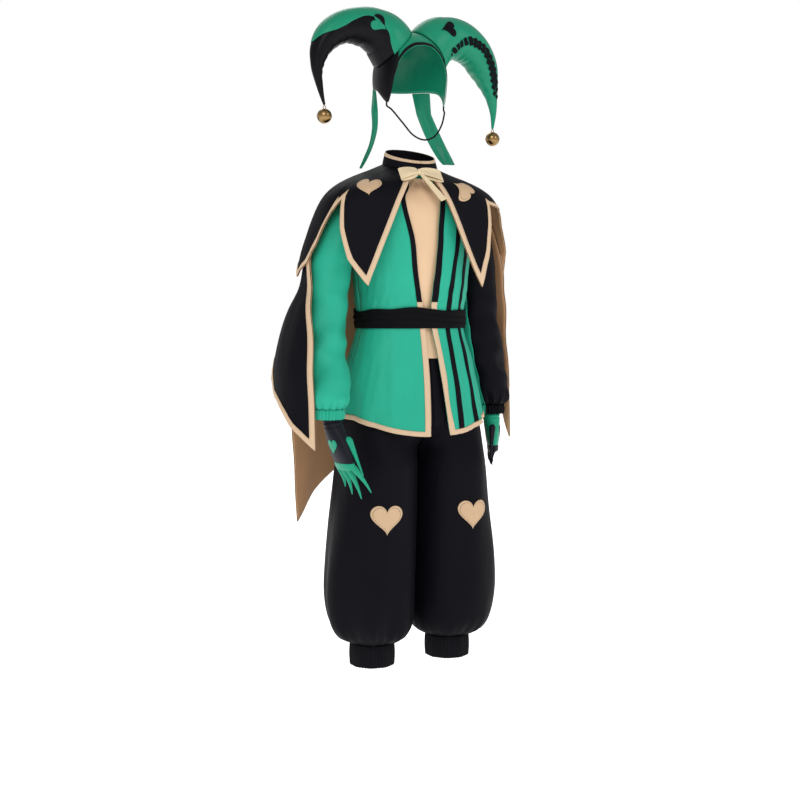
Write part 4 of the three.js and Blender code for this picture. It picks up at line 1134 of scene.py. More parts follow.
def ring_step(z: Array) -> Array:
    """Millimetres for one degree of turn, near the jacket's front.

    Args:
        z: Heights above the soles.

    Returns:
        The step in millimetres.
    """
    return np.linalg.norm(draped(JACKET, 20, z) - draped(JACKET, 21, z), axis=-1)


def right_front(k: Array, z: Array) -> Array:
    """Turns of the right front's columns.

    Args:
        k: Which column or piece it is.
        z: Heights above the soles.

    Returns:
        The turns.
    """
    lead, ring = turn_at(JACKET, read(FRONT_EDGE_RIGHT, z), z), ring_step(z)
    start, side = lead + (STRIPE + 8) / ring, side_turn(z, False)
    rest = [start + (side - start) * i / 5 for i in range(6)]
    return between([lead, lead + BINDING / ring, *rest], k)


def left_front(k: Array, z: Array) -> Array:
    """Turns of the left front's columns.

    Args:
        k: Which column or piece it is.
        z: Heights above the soles.

    Returns:
        The turns.
    """
    lead, ring = turn_at(JACKET, read(FRONT_EDGE_LEFT, z), z), ring_step(z)
    one = turn_at(JACKET, read(STRIPE_ONE, z), z)
    two = turn_at(JACKET, read(STRIPE_TWO, z), z)
    w, side = STRIPE / 2 / ring, -side_turn(z, False)
    inner = two - w
    rest = [inner + (side - inner) * share for share in (0.36, 0.7, 1)]
    return between(
        [lead, lead - BINDING / ring, one + w, one - w, (one + two) / 2, two + w, inner, *rest], k
    )


@dataclass(frozen=True)
class Jacket:
    """Jacket with bands, stripes and binding, the vest front inside it and the sash over it."""

    each: int = 5

    @staticmethod
    def heights() -> Array:
        """Heights of the rows, close together at the hem's binding.

        Returns:
            The heights.
        """
        return np.concatenate(
            [np.linspace(1469, BINDING_TOP, 52), np.linspace(1162, 916, 44), [912.5, 909, 905]]
        )

    def build(self) -> None:
        """Makes the pieces."""
        z = self.heights()
        right_k = np.linspace(0, 7, 7 * self.each + 1)
        left_k = np.linspace(9, 0, 9 * self.each + 1)
        right = grid_of(right_k, z, lambda k, h: jacket_point(right_front(k, h), h))
        left = grid_of(left_k, z, lambda k, h: jacket_point(left_front(k, h), h))
        back = grid_of(np.linspace(0, 1, 61), z, self.back_point)
        fronts = {"right": right, "left": left}
        mid_z = (z[1:] + z[:-1]) / 2
        hem, upper = mid_z < 916, mid_z > BINDING_TOP
        mids = {"right": (right_k[1:] + right_k[:-1]) / 2, "left": (left_k[1:] + left_k[:-1]) / 2}
        pieces: dict[str, list[bpy.types.Object]] = {"right": [], "left": []}
        for side, grid in fronts.items():
            over = grid.away(SEAM + 1)
            lead = mids[side] < 1
            band = lead[:, None] & (upper & (mid_z < 1460))[None]
            pieces[side].append(sew(
                f"neck_band_{side}", over, "black_cloth", [f"jacket_band_{side}"],
                thick=1.0, keep=band, fine=0,
            ))
            edge = hem[None] | (lead[:, None] & ~upper[None])
            pieces[side].append(sew(
                f"edging_{side}", over, "gold_cloth", [f"jacket_binding_{side}"],
                thick=1.0, keep=edge, fine=0,
            ))
        over = left.away(SEAM + 1)
        for name, low, top in (("one", 2, 1460), ("two", 5, 1430)):
            inside = (mids["left"] > low) & (mids["left"] < low + 1)
            keep = inside[:, None] & ((mid_z < top) & ~hem)[None]
            pieces["left"].append(sew(f"front_stripe_{name}", over, "black_cloth",
                                      [f"jacket_stripe_{name}"], thick=1.0, keep=keep, fine=0))
        for side, grid in fronts.items():
            cloth = sew(
                f"jacket_{side}_cloth", grid, "green_cloth", [f"jacket_front_{side}"], fine=0
            )
        cloth = sew("jacket_back_cloth", back, "green_cloth", ["jacket_back"], fine=0)
        edge = sew(
            "edging_back", back.away(SEAM + 1), "gold_cloth", ["jacket_binding_back"],
            thick=1.0, keep=np.tile(hem, (60, 1)), fine=0,
        )
        self.vest()
        self.sash()

    @staticmethod
    def back_point(share: Array, z: Array) -> Array:
        """The jacket's back from seam to seam.

        Args:
            share: Shares of the way along the piece, from 0 to 1.
            z: Heights above the soles.

        Returns:
            The points.
        """
        start = side_turn(z, True)
        return jacket_point(start + (360 - 2 * start) * share, z)

    @staticmethod
    def vest() -> None:
        """The vest front inside the jacket."""

        def point(turn: Array, z: Array) -> Array:
            """A point of the piece.

            Args:
                turn: Turns round the piece, in degrees.
                z: Heights above the soles.

            Returns:
                The points.
            """
            edge = read(((1466, 27), (1448, 34), (1425, 42), (1395, 50), (1340, 56), (1040, 56)), z)
            around = turn * edge / 58
            fold = 1.3 * np.sin(np.radians(turn * 17)) + 0.9 * ripple(turn / 16, z / 330, 31)
            inward = -7.2 + 2 * smooth(np.abs(turn), 38, 56)
            return pushed(draped(JACKET, around, z), inward + fold * 0.8)

        grid = grid_of(np.linspace(-58, 58, 70), np.linspace(1466, 1040, 84), point)
        cloth = sew("vest_cloth", grid, "vest_cloth", ["vest_front"], fine=0)

    @staticmethod
    def sash() -> None:
        """The soft sash round the waist."""

        def point(turn: Array, share: Array) -> Array:
            """A point of the piece.

            Args:
                turn: Turns round the piece, in degrees.
                share: Shares of the way along the piece, from 0 to 1.

            Returns:
                The points.
            """
            top = 1152 + 3 * np.sin(np.radians(turn * 3 + 20)) + 2 * np.sin(np.radians(turn * 7))
            z = top + (1108 - top) * share
            swell = 3.6 + CLOTH + 2.4 * np.sin(np.pi * share)
            crush = 1.3 * np.sin(2 * np.pi * (share * 3.2 + 0.25 * np.sin(np.radians(turn * 2))))
            crush = (
                crush * np.sin(np.pi * share) ** 0.5
                + 0.5 * np.sin(np.pi * share) * ripple_round(turn, share, 41)
            )
            return pushed(draped(JACKET, turn, z), swell + crush)

        grid = grid_of(np.arange(0, 360, 2.5), np.linspace(0, 1, 16), point, closed=True)
        cloth = sew("sash_cloth", grid, "sash_cloth", ["sash"], fine=1)


def ripple_round(turn: Array, along: Array, seed: int, waves: int = 7, most: int = 9) -> Array:
    """A ripple that closes on itself after a full turn.

    Args:
        turn: Turns round the piece, in degrees.
        along: Places along the rows.
        seed: Seed of the random waves.
        waves: How many waves are added up.
        most: The most waves round.

    Returns:
        The ripple at those places.
    """
    dice = np.random.default_rng(seed)
    total = 0.0
    for _ in range(waves):
        k, ka = dice.integers(1, most), dice.normal(0, 1)
        total = total + np.sin(
            np.radians(turn * k) + 2 * np.pi * ka * along + dice.uniform(0, 6.28)
        )
    return total / math.sqrt(waves)


SLEEVE_RIGHT = (
    (1252, -199, 10, 49, 51), (1150, -215, -8, 49, 51), (1090, -227, -26, 48, 50),
    (1030, -236, -50, 47, 50), (985, -242, -76, 46, 49), (958, -245, -90, 44, 46),
    (942, -247, -96, 38, 40), (934, -249, -99, 31, 32),
)
SLEEVE_LEFT = (
    (1252, 194, 32, 48, 50), (1150, 198, 36, 50, 52), (1090, 205, 32, 50, 52),
    (1030, 214, 27, 50, 51), (980, 223, 23, 49, 50), (946, 229, 20, 46, 48),
    (930, 230, 18, 39, 41), (922, 230, 18, 30, 31),
)


@dataclass(frozen=True)
class Sleeve:
    """One sleeve from the armhole to the cuff's seam, with its gathered cuff.

    Attributes:
        side: Which arm.
        table: Rings of height, sideways place, forward place, half width and half depth.
        cuff: Height of the cuff's ends, its middle and its half sizes.
        seed: Picks the folds.
    """

    side: Side
    table: Sequence[Sequence[float]]
    cuff: tuple[float, float, float, float, float, float]
    seed: int

    def middle(self, s: Array) -> Array:
        """The middle of the sleeve: s is 0 at the armhole and 1 at the first ring.

        Args:
            s: Shares of the way down the sleeve.

        Returns:
            The points.
        """
        rows = [(i + 1, *row) for i, row in enumerate(self.table)]
        s = np.asarray(s, float)
        ring = points_of(read(rows, s, 2), read(rows, s, 3), read(rows, s, 1))
        hole = np.array([self.side.value * 145.0, 0.0, ARMHOLE_Z])
        t = np.clip(s, 0, 1)[..., None]
        return np.where(s[..., None] < 1, hole + (ring - hole) * t, ring)

    def surface(self, turn: Array, s: Array) -> Array:
        """The sleeve's cloth with its slanting folds and the gathers at the cuff.

        Args:
            turn: Turns round the piece, in degrees.
            s: Shares of the way down the sleeve.

        Returns:
            The points.
        """
        turn, s = np.broadcast_arrays(np.asarray(turn, float), np.asarray(s, float))
        side = self.side.value
        rows = [(i + 1, *row) for i, row in enumerate(self.table)]
        z, x, y, w, d = (read(rows, s, i) for i in range(1, 6))
        c, q = np.cos(np.radians(turn)), np.sin(np.radians(turn))
        last = self.table[-1][0]
        gather = smooth(-z, -975, -last)
        slant = ripple_round(turn + (z - 900) * 0.45, z / 260, self.seed, most=5)
        cross = ripple_round(turn, z / 75, self.seed + 1, most=3)
        fold = smooth(s, 0.9, 1.9) * (1 - smooth(-z, -960, -last)) * (3.0 * slant + 2.2 * cross)
        fold = fold + gather * (
            2.6 * np.sin(np.radians(turn * 12)) + 1.3 * np.sin(np.radians(turn * 30))
        )
        ring = points_of(x + side * w * q, y - d * c, z)
        out = unit(points_of(side * w * q, -d * c, z * 0))
        body = ring + out * fold[..., None]
        hole_z = ARMHOLE_Z + (ARMHOLE_TALL - 1) * q
        hole_y = -(ARMHOLE_DEEP - 1) * c
        depth = np.where(hole_y > 0, read(JACKET, hole_z, 3), read(JACKET, hole_z, 2))
        power = read(JACKET, hole_z, 4)
        share = np.clip(np.abs(hole_y) / depth, 0, 1) ** power
        hole = points_of(
            side * (read(JACKET, hole_z) * (1 - share) ** (1 / power) + 1.2), hole_y, hole_z
        )
        pull = points_of(
            hole[..., 0] + (ring[..., 0] - hole[..., 0]) * 0.72,
            (hole[..., 1] + ring[..., 1]) / 2,
            hole[..., 2] - 18,
        )
        t = np.clip(s, 0, 1)[..., None]
        cap = hole * (1 - t) ** 2 + pull * 2 * t * (1 - t) + ring * t**2
        pucker = np.sin(np.pi * t[..., 0]) * 1.3 * ripple_round(turn, s, self.seed + 2, most=12)
        cap = cap + out * pucker[..., None]
        return np.where(s[..., None] < 1, cap, body)

    def grid(self, turns: Array, closed: bool) -> Grid:
        """The grid between some turns.

        Args:
            turns: Turns of the columns, in degrees.
            closed: Whether the last column joins the first.

        Returns:
            The grid.
        """
        s = np.concatenate([np.linspace(0, 1, 18), np.linspace(1, len(self.table), 92)[1:]])
        u, v = np.meshgrid(turns, s, indexing="ij")
        points = self.surface(u, v)
        normals = normals_of(points, closed)
        if np.sum(normals * (points - self.middle(v))) < 0:
            normals = -normals
        return Grid(points, closed, normals)

    def cuff_grid(self, turns: Array, closed: bool) -> Grid:
        """The gathered cuff between some turns.

        Args:
            turns: Turns of the columns, in degrees.
            closed: Whether the last column joins the first.

        Returns:
            The grid.
        """
        top, low, x, y, w, d = self.cuff
        side = self.side.value

        def point(turn: Array, share: Array) -> Array:
            """A point of the piece.

            Args:
                turn: Turns round the piece, in degrees.
                share: Shares of the way along the piece, from 0 to 1.

            Returns:
                The points.
            """
            rib = 0.8 * np.sin(np.radians(turn * 9)) + 1.9 * np.sin(np.radians(turn * 26))
            rib = rib + 1.6 * np.sin(np.pi * share)
            q, c = np.sin(np.radians(turn)), np.cos(np.radians(turn))
            return points_of(x + side * (w + rib) * q, y - (d + rib) * c, top + (low - top) * share)

        u, v = np.meshgrid(turns, np.linspace(0, 1, 9), indexing="ij")
        points = point(u, v)
        normals = normals_of(points, closed)
        if np.sum(normals * (points - np.array([x, y, (top + low) / 2]))) < 0:
            normals = -normals
        return Grid(points, closed, normals)


def make_sleeves() -> None:
    """Both sleeves with their cuffs."""
    right = Sleeve(Side.RIGHT, SLEEVE_RIGHT, (933.5, 911, -249, -99, 31, 32), 51)
    left = Sleeve(Side.LEFT, SLEEVE_LEFT, (921.5, 899, 230, 18, 30, 31), 56)
    whole = np.arange(0, 360, 3.6)
    parts = (
        ("sleeve_right_cloth", right.grid(whole, True), "green_cloth", "sleeve_right", CLOTH),
        ("sleeve_left_outside", left.grid(np.linspace(-54, 189, 68), False), "black_cloth",
         "sleeve_left_outer", CLOTH),
        ("sleeve_left_inside", left.grid(np.linspace(189.8, 305.2, 34), False), "green_cloth",
         "sleeve_left_inner", CLOTH),
        ("cuff_right_cloth", right.cuff_grid(np.arange(0, 360, 2), True), "green_cloth",
         "cuff_right", 1.5),
        ("cuff_left_outside", left.cuff_grid(np.linspace(-54, 189, 122), False), "black_cloth",
         "cuff_left_outer", 1.5),
        ("cuff_left_inside", left.cuff_grid(np.linspace(190.4, 304.6, 58), False), "green_cloth",
         "cuff_left_inner", 1.5),
    )
    for name, grid, look, node, thick in parts:
        piece = sew(name, grid, look, [node], thick=thick, fine=0)
        "gathered" if "cuff" in name else "hung"


WAIST = (
    (1110, 122.6, 87, 92), (1060, 130, 95, 98), (1000, 142, 104, 108), (940, 155, 113, 118),
    (880, 168, 121, 127), (800, 178, 128, 132),
)
LEG = (
    (880, 86, 84, 118), (800, 89, 87.5, 126), (740, 93, 91.5, 124), (660, 99, 97.5, 121),
    (580, 104, 102.5, 119), (510, 107, 105, 117), (465, 105.5, 103, 112), (430, 102, 97, 102),
    (405, 99.5, 84, 86), (394, 98, 66, 68), (388, 98, 50, 51),
)


@dataclass(frozen=True)
class Trousers:
    """Full trousers gathered into cuffs, with a heart on each leg."""

    heart: float = 76.0

    @staticmethod
    def leg_surface(side: Side, seed: int) -> Surface:
        """The surface of one leg: share 0 is the inner seam in front, 1 the one behind.

        Args:
            side: The side, or its sign.
            seed: Seed of the random waves.

        Returns:
            The surface.
        """

        def point(share: Array, z: Array) -> Array:
            """A point of the piece.

            Args:
                share: Shares of the way along the piece, from 0 to 1.
                z: Heights above the soles.

            Returns:
                The points.
            """
            share, z = np.broadcast_arrays(np.asarray(share, float), np.asarray(z, float))
            turn = np.radians(180 * share)
            c, s = np.cos(turn), np.sin(turn)
            depth = np.where(c > 0, read(WAIST, z, 2), read(WAIST, z, 3))
            hip = points_of(-0.15 - read(WAIST, z) * bend(s, 0.85), -depth * bend(c, 0.85), z)
            angle = 2 * np.pi * share
            long = ripple_round(share * 360, z / 1500, seed, most=8)
            slant = ripple_round(share * 360 + z * 0.18, z / 420, seed + 1, most=5)
            free = smooth(-z, -960, -820) * (1 - smooth(-z, -440, -395))
            fold = free * (3.3 * long + 2.6 * slant) * (1 - 0.8 * np.maximum(np.cos(angle), 0))
            puff = smooth(-z, -520, -400) * (
                3.6 * np.sin(angle * 7) + 1.9 * smooth(-z, -455, -405) * np.sin(angle * 23)
            )
            x = -read(LEG, z) + (read(LEG, z, 2) + puff * 0.4 + fold) * np.cos(angle)
            y = -(read(LEG, z, 3) + puff + fold) * np.sin(angle)
            leg = points_of(np.minimum(x, -0.8), y, z)
            blend = smooth(-z, -905, -795)[..., None]
            p = hip + (leg - hip) * blend
            end = (share <= 0) | (share >= 1)
            p[..., 1] += np.where(end, np.where(share < 0.5, -0.15, 0.15), 0) * blend[..., 0]
            p[..., 0] *= -side.value
            return p

        return point

    def build(self) -> None:
        """Makes the pieces."""
        z = np.concatenate([np.linspace(1108, 460, 84), np.linspace(454, 388, 22)])
        for side, seed, spot in ((Side.RIGHT, 61, 28.3), (Side.LEFT, 66, 25.0)):
            name = side.name.lower()
            surface = self.leg_surface(side, seed)
            grid = grid_of(np.linspace(0, 1, 110), z, surface)
            leg = sew(f"trouser_{name}_cloth", grid, "black_cloth", [f"trouser_leg_{name}"], fine=0)
            x = side.value * 98

            def cuff_point(turn: Array, share: Array, x: float = x) -> Array:
                """A point of the elastic cuff.

                Args:
                    turn: Turns round the piece, in degrees.
                    share: Shares of the way along the piece, from 0 to 1.
                    x: Sideways places.

                Returns:
                    The points.
                """
                rib = 0.9 * np.sin(np.radians(turn * 9)) + 1.0 * np.sin(np.radians(turn * 40))
                rib = rib + 1.5 * np.sin(np.pi * share)
                q, c = np.sin(np.radians(turn)), np.cos(np.radians(turn))
                return points_of(x + (50 + rib) * q, -(51 + rib) * c, 387.6 - 51.6 * share)

            cuff = grid_of(np.arange(0, 360, 1.8), np.linspace(0, 1, 12), cuff_point, closed=True)
            band = sew(
                f"trouser_{name}_cuff", cuff, "rib_black", [f"trouser_cuff_{name}"], thick=1.8,
                fine=0
            )
            core = np.array([x, 0.0, 683.0])

            def on_leg(share: Array, h: Array, surface: Surface = surface) -> Array:
                """A point of the leg under a heart.

                Args:
                    share: Shares of the way along the piece, from 0 to 1.
                    h: Places along the leg.
                    surface: The surface that it lies on.

                Returns:
                    The points.
                """
                return surface(np.asarray(share) / 100, h)

            middle = heart_grid(on_leg, spot, 683, self.heart, lift=1.6, within=core)
            heart = sew(
                f"leg_heart_{name}", middle, "gold_heart", [f"trouser_heart_{name}"], thick=0.9
            )

        def waist(turn: Array, share: Array) -> Array:
            """A point of the waistband.

            Args:
                turn: Turns round the piece, in degrees.
                share: Shares of the way along the piece, from 0 to 1.

            Returns:
                The points.
            """
            c, s = np.cos(np.radians(turn)), np.sin(np.radians(turn))
            depth = np.where(c > 0, 87.0, 92.0)
            return points_of(-122.6 * bend(s, 0.85), -depth * bend(c, 0.85), 1125 - 16 * share)

        grid = grid_of(np.arange(0, 360, 3), np.linspace(0, 1, 5), waist, closed=True)
        band = sew("waistband_cloth", grid, "rib_black", ["trouser_waistband"], thick=1.8, fine=0)


HOOD = (
    (1625, 79, 80, 92), (1655, 82, 88, 99), (1690, 84, 92, 104), (1720, 81, 88, 100),
    (1750, 71, 77, 88), (1772, 55, 60, 68), (1787, 36, 40, 44), (1795, 18, 20, 22),
    (1797.5, 3, 3, 3),
)
HOOD_TOP = 1797.5
FACE_EDGE = (
    (0, 1757), (20, 1753), (36, 1738), (46, 1716), (54, 1682), (60, 1648), (66, 1628), (72, 1629),
    (82, 1643), (96, 1660), (112, 1668), (130, 1672), (180, 1672),
)
HORN_RIGHT = (
    (-20, 2, 1716, 58), (-60, 2, 1776, 57), (-96, 2, 1796, 50), (-131, 0, 1800, 44),
    (-170, 0, 1795, 37), (-206, -2, 1773, 32), (-229, -3, 1740, 24), (-237, -4, 1706, 16),
    (-236, -4, 1680, 11), (-227, -3, 1642, 6), (-219, -3, 1614, 2.6),
)
HORN_LEFT = (
    (20, 2, 1716, 58), (60, 2, 1778, 57), (96, 2, 1793, 52), (124, 2, 1794, 49), (155, 2, 1782, 45),
    (178, 2, 1763, 41), (199, 2, 1732, 36), (212, 2, 1699, 26), (222, 2, 1663, 15),
    (227, 2, 1624, 7.5), (225, 2, 1588, 2.6),
)
PANEL_EDGE = (
    (0.4, 120), (0.7, 117), (1, 112), (1.55, 96), (2.05, 84), (2.5, 70), (3.05, 66), (3.7, 78),
    (4.3, 87), (5, 78), (5.65, 38), (5.95, 12),
)
BRAID_LINE = (
    (1.5, 136), (1.8, 130), (2.75, 112), (3.5, 96), (4.25, 90), (5.05, 82), (5.8, 84), (6.45, 84),
    (7.25, 80), (8, 76),
)


def hood_point(turn: Array, z: Array) -> Array:
    """The hood's crown, a little crumpled.

    Args:
        turn: Turns round the piece, in degrees.
        z: Heights above the soles.

    Returns:
        The points.
    """
    turn, z = np.broadcast_arrays(np.asarray(turn, float), np.asarray(z, float))
    c, s = np.cos(np.radians(turn)), np.sin(np.radians(turn))
    depth = np.where(c > 0, read(HOOD, z, 2), read(HOOD, z, 3))
    crumple = 0.7 * ripple_round(turn, z / 120, 71, most=7) * (1 - smooth(z, 1740, 1790))
    return pushed(points_of(-read(HOOD, z) * s, -depth * c, z), crumple)


def hood_edge(turn: Array) -> Array:
    """Height of the hood's lower edge.

    Args:
        turn: Turns round the piece, in degrees.

    Returns:
        The heights.
    """
    around = np.mod(turn, 360)
    return read(FACE_EDGE, np.minimum(around, 360 - around))


def in_hood(points: Array, margin: float) -> Array:
    """Below 1 inside the hood made larger by a margin.

    Args:
        points: Points in millimetres.
        margin: How much larger the form is made.

    Returns:
        The measure for each point.
    """
    x, y, z = points[..., 0], points[..., 1], points[..., 2]
    depth = np.where(y < 0, read(HOOD, z, 2), read(HOOD, z, 3)) + margin
    level = (x / (read(HOOD, z) + margin)) ** 2 + (y / depth) ** 2
    return np.where(z > HOOD_TOP + margin, 2.0, level)


def horn_point(
    table: Sequence[Sequence[float]], along: Array, turn: Array, away: Array = 0.0
) -> Array:
    """A point of a horn, by its place along the rows and the turn from its upper side.

    Args:
        table: The rows of the form.
        along: Places along the rows.
        turn: Turns round the piece, in degrees.
        away: Distance out from the surface.

    Returns:
        The points.
    """
    along, turn = np.broadcast_arrays(np.asarray(along, float), np.asarray(turn, float))
    rows = [(i, *row) for i, row in enumerate(table)]

    def spot(at: Array) -> Array:
        """A point on or in the horn.

        Args:
            at: Where to look.

        Returns:
            The points.
        """
        return points_of(read(rows, at, 1), read(rows, at, 2), read(rows, at, 3))

    ahead = unit(spot(np.minimum(along + 0.2, len(rows) - 1)) - spot(np.maximum(along - 0.2, 0)))
    front = np.array([0.0, -1.0, 0.0])
    upper = unit(np.cross(front, ahead) * math.copysign(1, table[0][0]))
    radius = read(rows, along, 4) + away
    c, s = np.cos(np.radians(turn)), np.sin(np.radians(turn))
    return spot(along) + upper * (radius * c)[..., None] + front * (radius * s)[..., None]


def pucker(table: Sequence[Sequence[float]], along: Array, turn: Array) -> Array:
    """Depth of the puckers on a horn's inner curve.

    Args:
        table: The rows of the form.
        along: Places along the rows.
        turn: Turns round the piece, in degrees.

    Returns:
        The depths in millimetres.
    """
    under = np.maximum(-np.cos(np.radians(turn)), 0) ** 1.5
    fade = smooth(along, 2.0, 3.2) * (1 - smooth(along, 7.5, 9))
    wave = np.sin(along * 9.5 + 0.6 * np.sin(np.radians(turn * 2))) + 0.5 * ripple(
        along / 1.1, turn / 70, 73
    )
    return -(0.75 * wave + 0.5) * under * fade + 0.6 * fade * ripple(along / 1.6, turn / 80, 74)


@dataclass(frozen=True)
class Horn:
    """One stuffed horn that starts where it leaves the hood.

    Attributes:
        side: Which horn.
        table: Rows of sideways place, forward place, height and radius.
        look: Its finish.
    """

    side: Side
    table: Sequence[Sequence[float]]
    look: str

    def start(self, turn_at_place: Callable[[Array], Array], margin: float = 0.8) -> Array:
        """Where each column leaves the hood and the other horn's side.

        Args:
            turn_at_place: Turn of each column.
            margin: How much larger the form is made.

        Returns:
            The place of each column.
        """
        at = np.linspace(0, 5, 500)
        points = horn_point(self.table, at, turn_at_place(at))
        wrong = (in_hood(points, margin) < 1) | (points[..., 0] * self.side.value < 0.2)
        last = np.where(wrong.any(-1), wrong.shape[-1] - 1 - np.argmax(wrong[..., ::-1], -1), 0)
        return at[np.minimum(last + 1, len(at) - 1)]

    def settle(self, points: Array) -> Array:
        """Moves points inside the hood out to its surface.

        Args:
            points: Points in millimetres.

        Returns:
            The settled points.
        """
        centre = np.array([0.0, 4.0, 1690.0])
        low, high = np.ones(points.shape[:-1]), np.full(points.shape[:-1], 4.0)
        inside = in_hood(points, 2.0) < 1
        for _ in range(24):
            mid = (low + high) / 2
            deep = in_hood(centre + (points - centre) * mid[..., None], 2.0) < 1
            low, high = np.where(deep, mid, low), np.where(deep, high, mid)
        return np.where(inside[..., None], centre + (points - centre) * high[..., None], points)

    def build(self) -> bpy.types.Object:
        """Makes the horn.

        Returns:
            The finished piece.
        """
        turns = np.arange(0, 360, 6.0)
        begin = np.array([self.start(lambda at, t=t: np.full_like(at, t)) for t in turns])
        s = np.linspace(0, 1, 90)
        along = begin[:, None] + (10 - begin[:, None]) * s
        turn = np.broadcast_to(turns[:, None], along.shape)
        body = horn_point(self.table, along, turn, pucker(self.table, along, turn))
        root = body[:, 0]
        middle = root.mean(axis=0)
        inner = np.stack(
            [self.settle(middle + (root - middle) * r) for r in (0.0, 0.4, 0.75)], axis=1
        )
        tip = np.broadcast_to(body[:, -1].mean(axis=0), (len(turns), 1, 3))
        grid = Grid(np.concatenate([inner, body, tip], axis=1), True)
        name = self.side.name.lower()
        piece = sew(f"horn_{name}_cloth", grid, self.look, [f"hat_horn_{name}"], thick=0, fine=1)
        return piece


def horn_place(table: Sequence[Sequence[float]], line: Sequence[Sequence[float]]) -> Array:
    """Points along a line of places and turns on a horn.

    Args:
        table: The rows of the form.
        line: Rows of place and turn.

    Returns:
        The points.
    """
    at = np.linspace(line[0][0], line[-1][0], 400)
    return horn_point(table, at, read(line, at))


def on_horn(table: Sequence[Sequence[float]]) -> Surface:
    """A horn's surface by turn and thirtieths of its rows.

    Args:
        table: The rows of the form.

    Returns:
        The surface.
    """
    return lambda turn, at: horn_point(table, np.asarray(at) / 30, np.abs(turn))


@dataclass(frozen=True)
class Hood:
    """Hood of black and green satin with its binding, horns, braid, hearts and chin elastic."""

    binding: float = 8.0

    def build(self) -> None:
        """Makes the pieces."""
        self.crown("hood_black", 48, 180, "black_satin", "hat_crown_black", 44)
        self.crown("hood_green", 180, 408, "green_satin", "hat_crown_green", 76)
        turns = np.linspace(294, 426, 120)
        rows = np.array([1, 0.86, 0.7, 0.55, 0.45, 0.3, 0.14, 0])

        def rim(turn: Array, share: Array) -> Array:
            """A point of the face edging.

            Args:
                turn: Turns round the piece, in degrees.
                share: Shares of the way along the piece, from 0 to 1.

            Returns:
                The points.
            """
            around = np.minimum(np.mod(turn, 360), 360 - np.mod(turn, 360))
            steep = np.maximum(np.cos(np.radians(around * 1.25)), 0.35)
            return hood_point(turn, hood_edge(turn) + share * self.binding / steep)

        grid = grid_of(turns, rows, rim).away(
            1.1 + 0.9 * np.abs(np.sin(np.pi * 2 * rows))[None] ** 0.5 * np.ones((120, 1))
        )
        sew("face_edging", grid, "black_satin", ["hat_face_binding"], thick=0.8, fine=1)
        Horn(Side.RIGHT, HORN_RIGHT, "black_satin").build()
        Horn(Side.LEFT, HORN_LEFT, "green_satin").build()
        self.panel()
        self.braid()
        self.hearts()
        self.elastic()
        self.tails()

    @staticmethod
    def crown(name: str, start: float, end: float, look: str, node: str, count: int) -> None:
        """One half of the crown, between two turns.

        Args:
            name: The name to look for or give.
            start: Turn where it starts.
            end: Turn where it ends.
            look: Name of the finish.
            node: The CAD node that it replaces.
            count: How many columns it has.
        """

        def point(turn: Array, share: Array) -> Array:
            """A point of the piece.

            Args:
                turn: Turns round the piece, in degrees.
                share: Shares of the way along the piece, from 0 to 1.

            Returns:
                The points.
            """
            low = hood_edge(turn)
            z = HOOD_TOP - (HOOD_TOP - low) * (1 - share) ** 1.7
            gap = np.degrees(SEAM / read(HOOD, z))
            lean = (turn <= start).astype(float) - (turn >= end).astype(float)
            return hood_point(turn + lean * gap, z)

        grid = grid_of(np.linspace(start, end, count), np.linspace(1, 0, 30), point)
        piece = sew(name, grid, look, [node], fine=0)

    @staticmethod
    def hearts(width: float = 44.0) -> None:
        """The hearts on the horns; the right one changes colour where it crosses the panel.

        Args:
            width: Width of a heart.
        """
        for side, table, turn, at, spin, lift in (
            (Side.LEFT, HORN_LEFT, -70, 1.65, 5, 1.0),
            (Side.RIGHT, HORN_RIGHT, 86, 2.2, 25, 2.7),
        ):
            radius = read([(i, row[3]) for i, row in enumerate(table)], np.array(at))
            core = horn_point(table, np.array(at), np.array(0.0), -radius)
            grid = heart_grid(on_horn(table), turn, at * 30, width, spin, lift, core)
            name = f"horn_heart_{side.name.lower()}"
            node = [f"hat_heart_{side.name.lower()}"]
            if side is Side.LEFT:
                sew(name, grid, "black_cloth", node, thick=0.9)
                continue
            places = np.concatenate([grid.points, grid.points[:1]])
            middle = (places[1:, 1:] + places[:-1, :-1]) / 2
            edge = horn_place(table, PANEL_EDGE)
            near = np.argmin(((middle[:, :, None] - edge) ** 2).sum(-1), axis=-1)
            ahead = np.gradient(edge, axis=0)[near]
            outward = middle - core
            over = np.sum(np.cross(ahead, middle - edge[near]) * outward, axis=-1) < 0
            sew(name, grid, "black_satin", node, thick=0.9, keep=over, fine=0)
            sew(f"{name}_outer", grid, "green_satin", thick=0.9, keep=~over, fine=0)

    @staticmethod
    def panel() -> None:
        """The green panel over the right horn's top."""
        horn = Horn(Side.RIGHT, HORN_RIGHT, "green_satin")
        shares = np.linspace(0, 1, 40)

        def turn_of(share: Array, at: Array) -> Array:
            """The turn of a column at a share of the way.

            Args:
                share: Shares of the way along the piece, from 0 to 1.
                at: Where to look.

            Returns:
                The turns.
            """
            low = -97 + 80 * smooth(at, 4.6, 5.9)
            return low + (read(PANEL_EDGE, at) - low) * share

        begin = np.array([horn.start(lambda at, q=q: turn_of(q, at)) for q in shares])
        begin = np.maximum(begin, 0.2)
        along = begin[:, None] + (5.9 - begin[:, None]) * np.linspace(0, 1, 70)
        share = np.broadcast_to(shares[:, None], along.shape)
        turn = turn_of(share, along)
        points = horn_point(HORN_RIGHT, along, turn, 1.6 + pucker(HORN_RIGHT, along, turn))
        core = horn_point(HORN_RIGHT, along, turn, -1000.0)
        grid = Grid(points, False, unit(points - (points + core) / 2))
        piece = sew(
            "horn_right_panel", grid, "green_satin", ["hat_horn_right_top"], thick=1.0, fine=0
        )

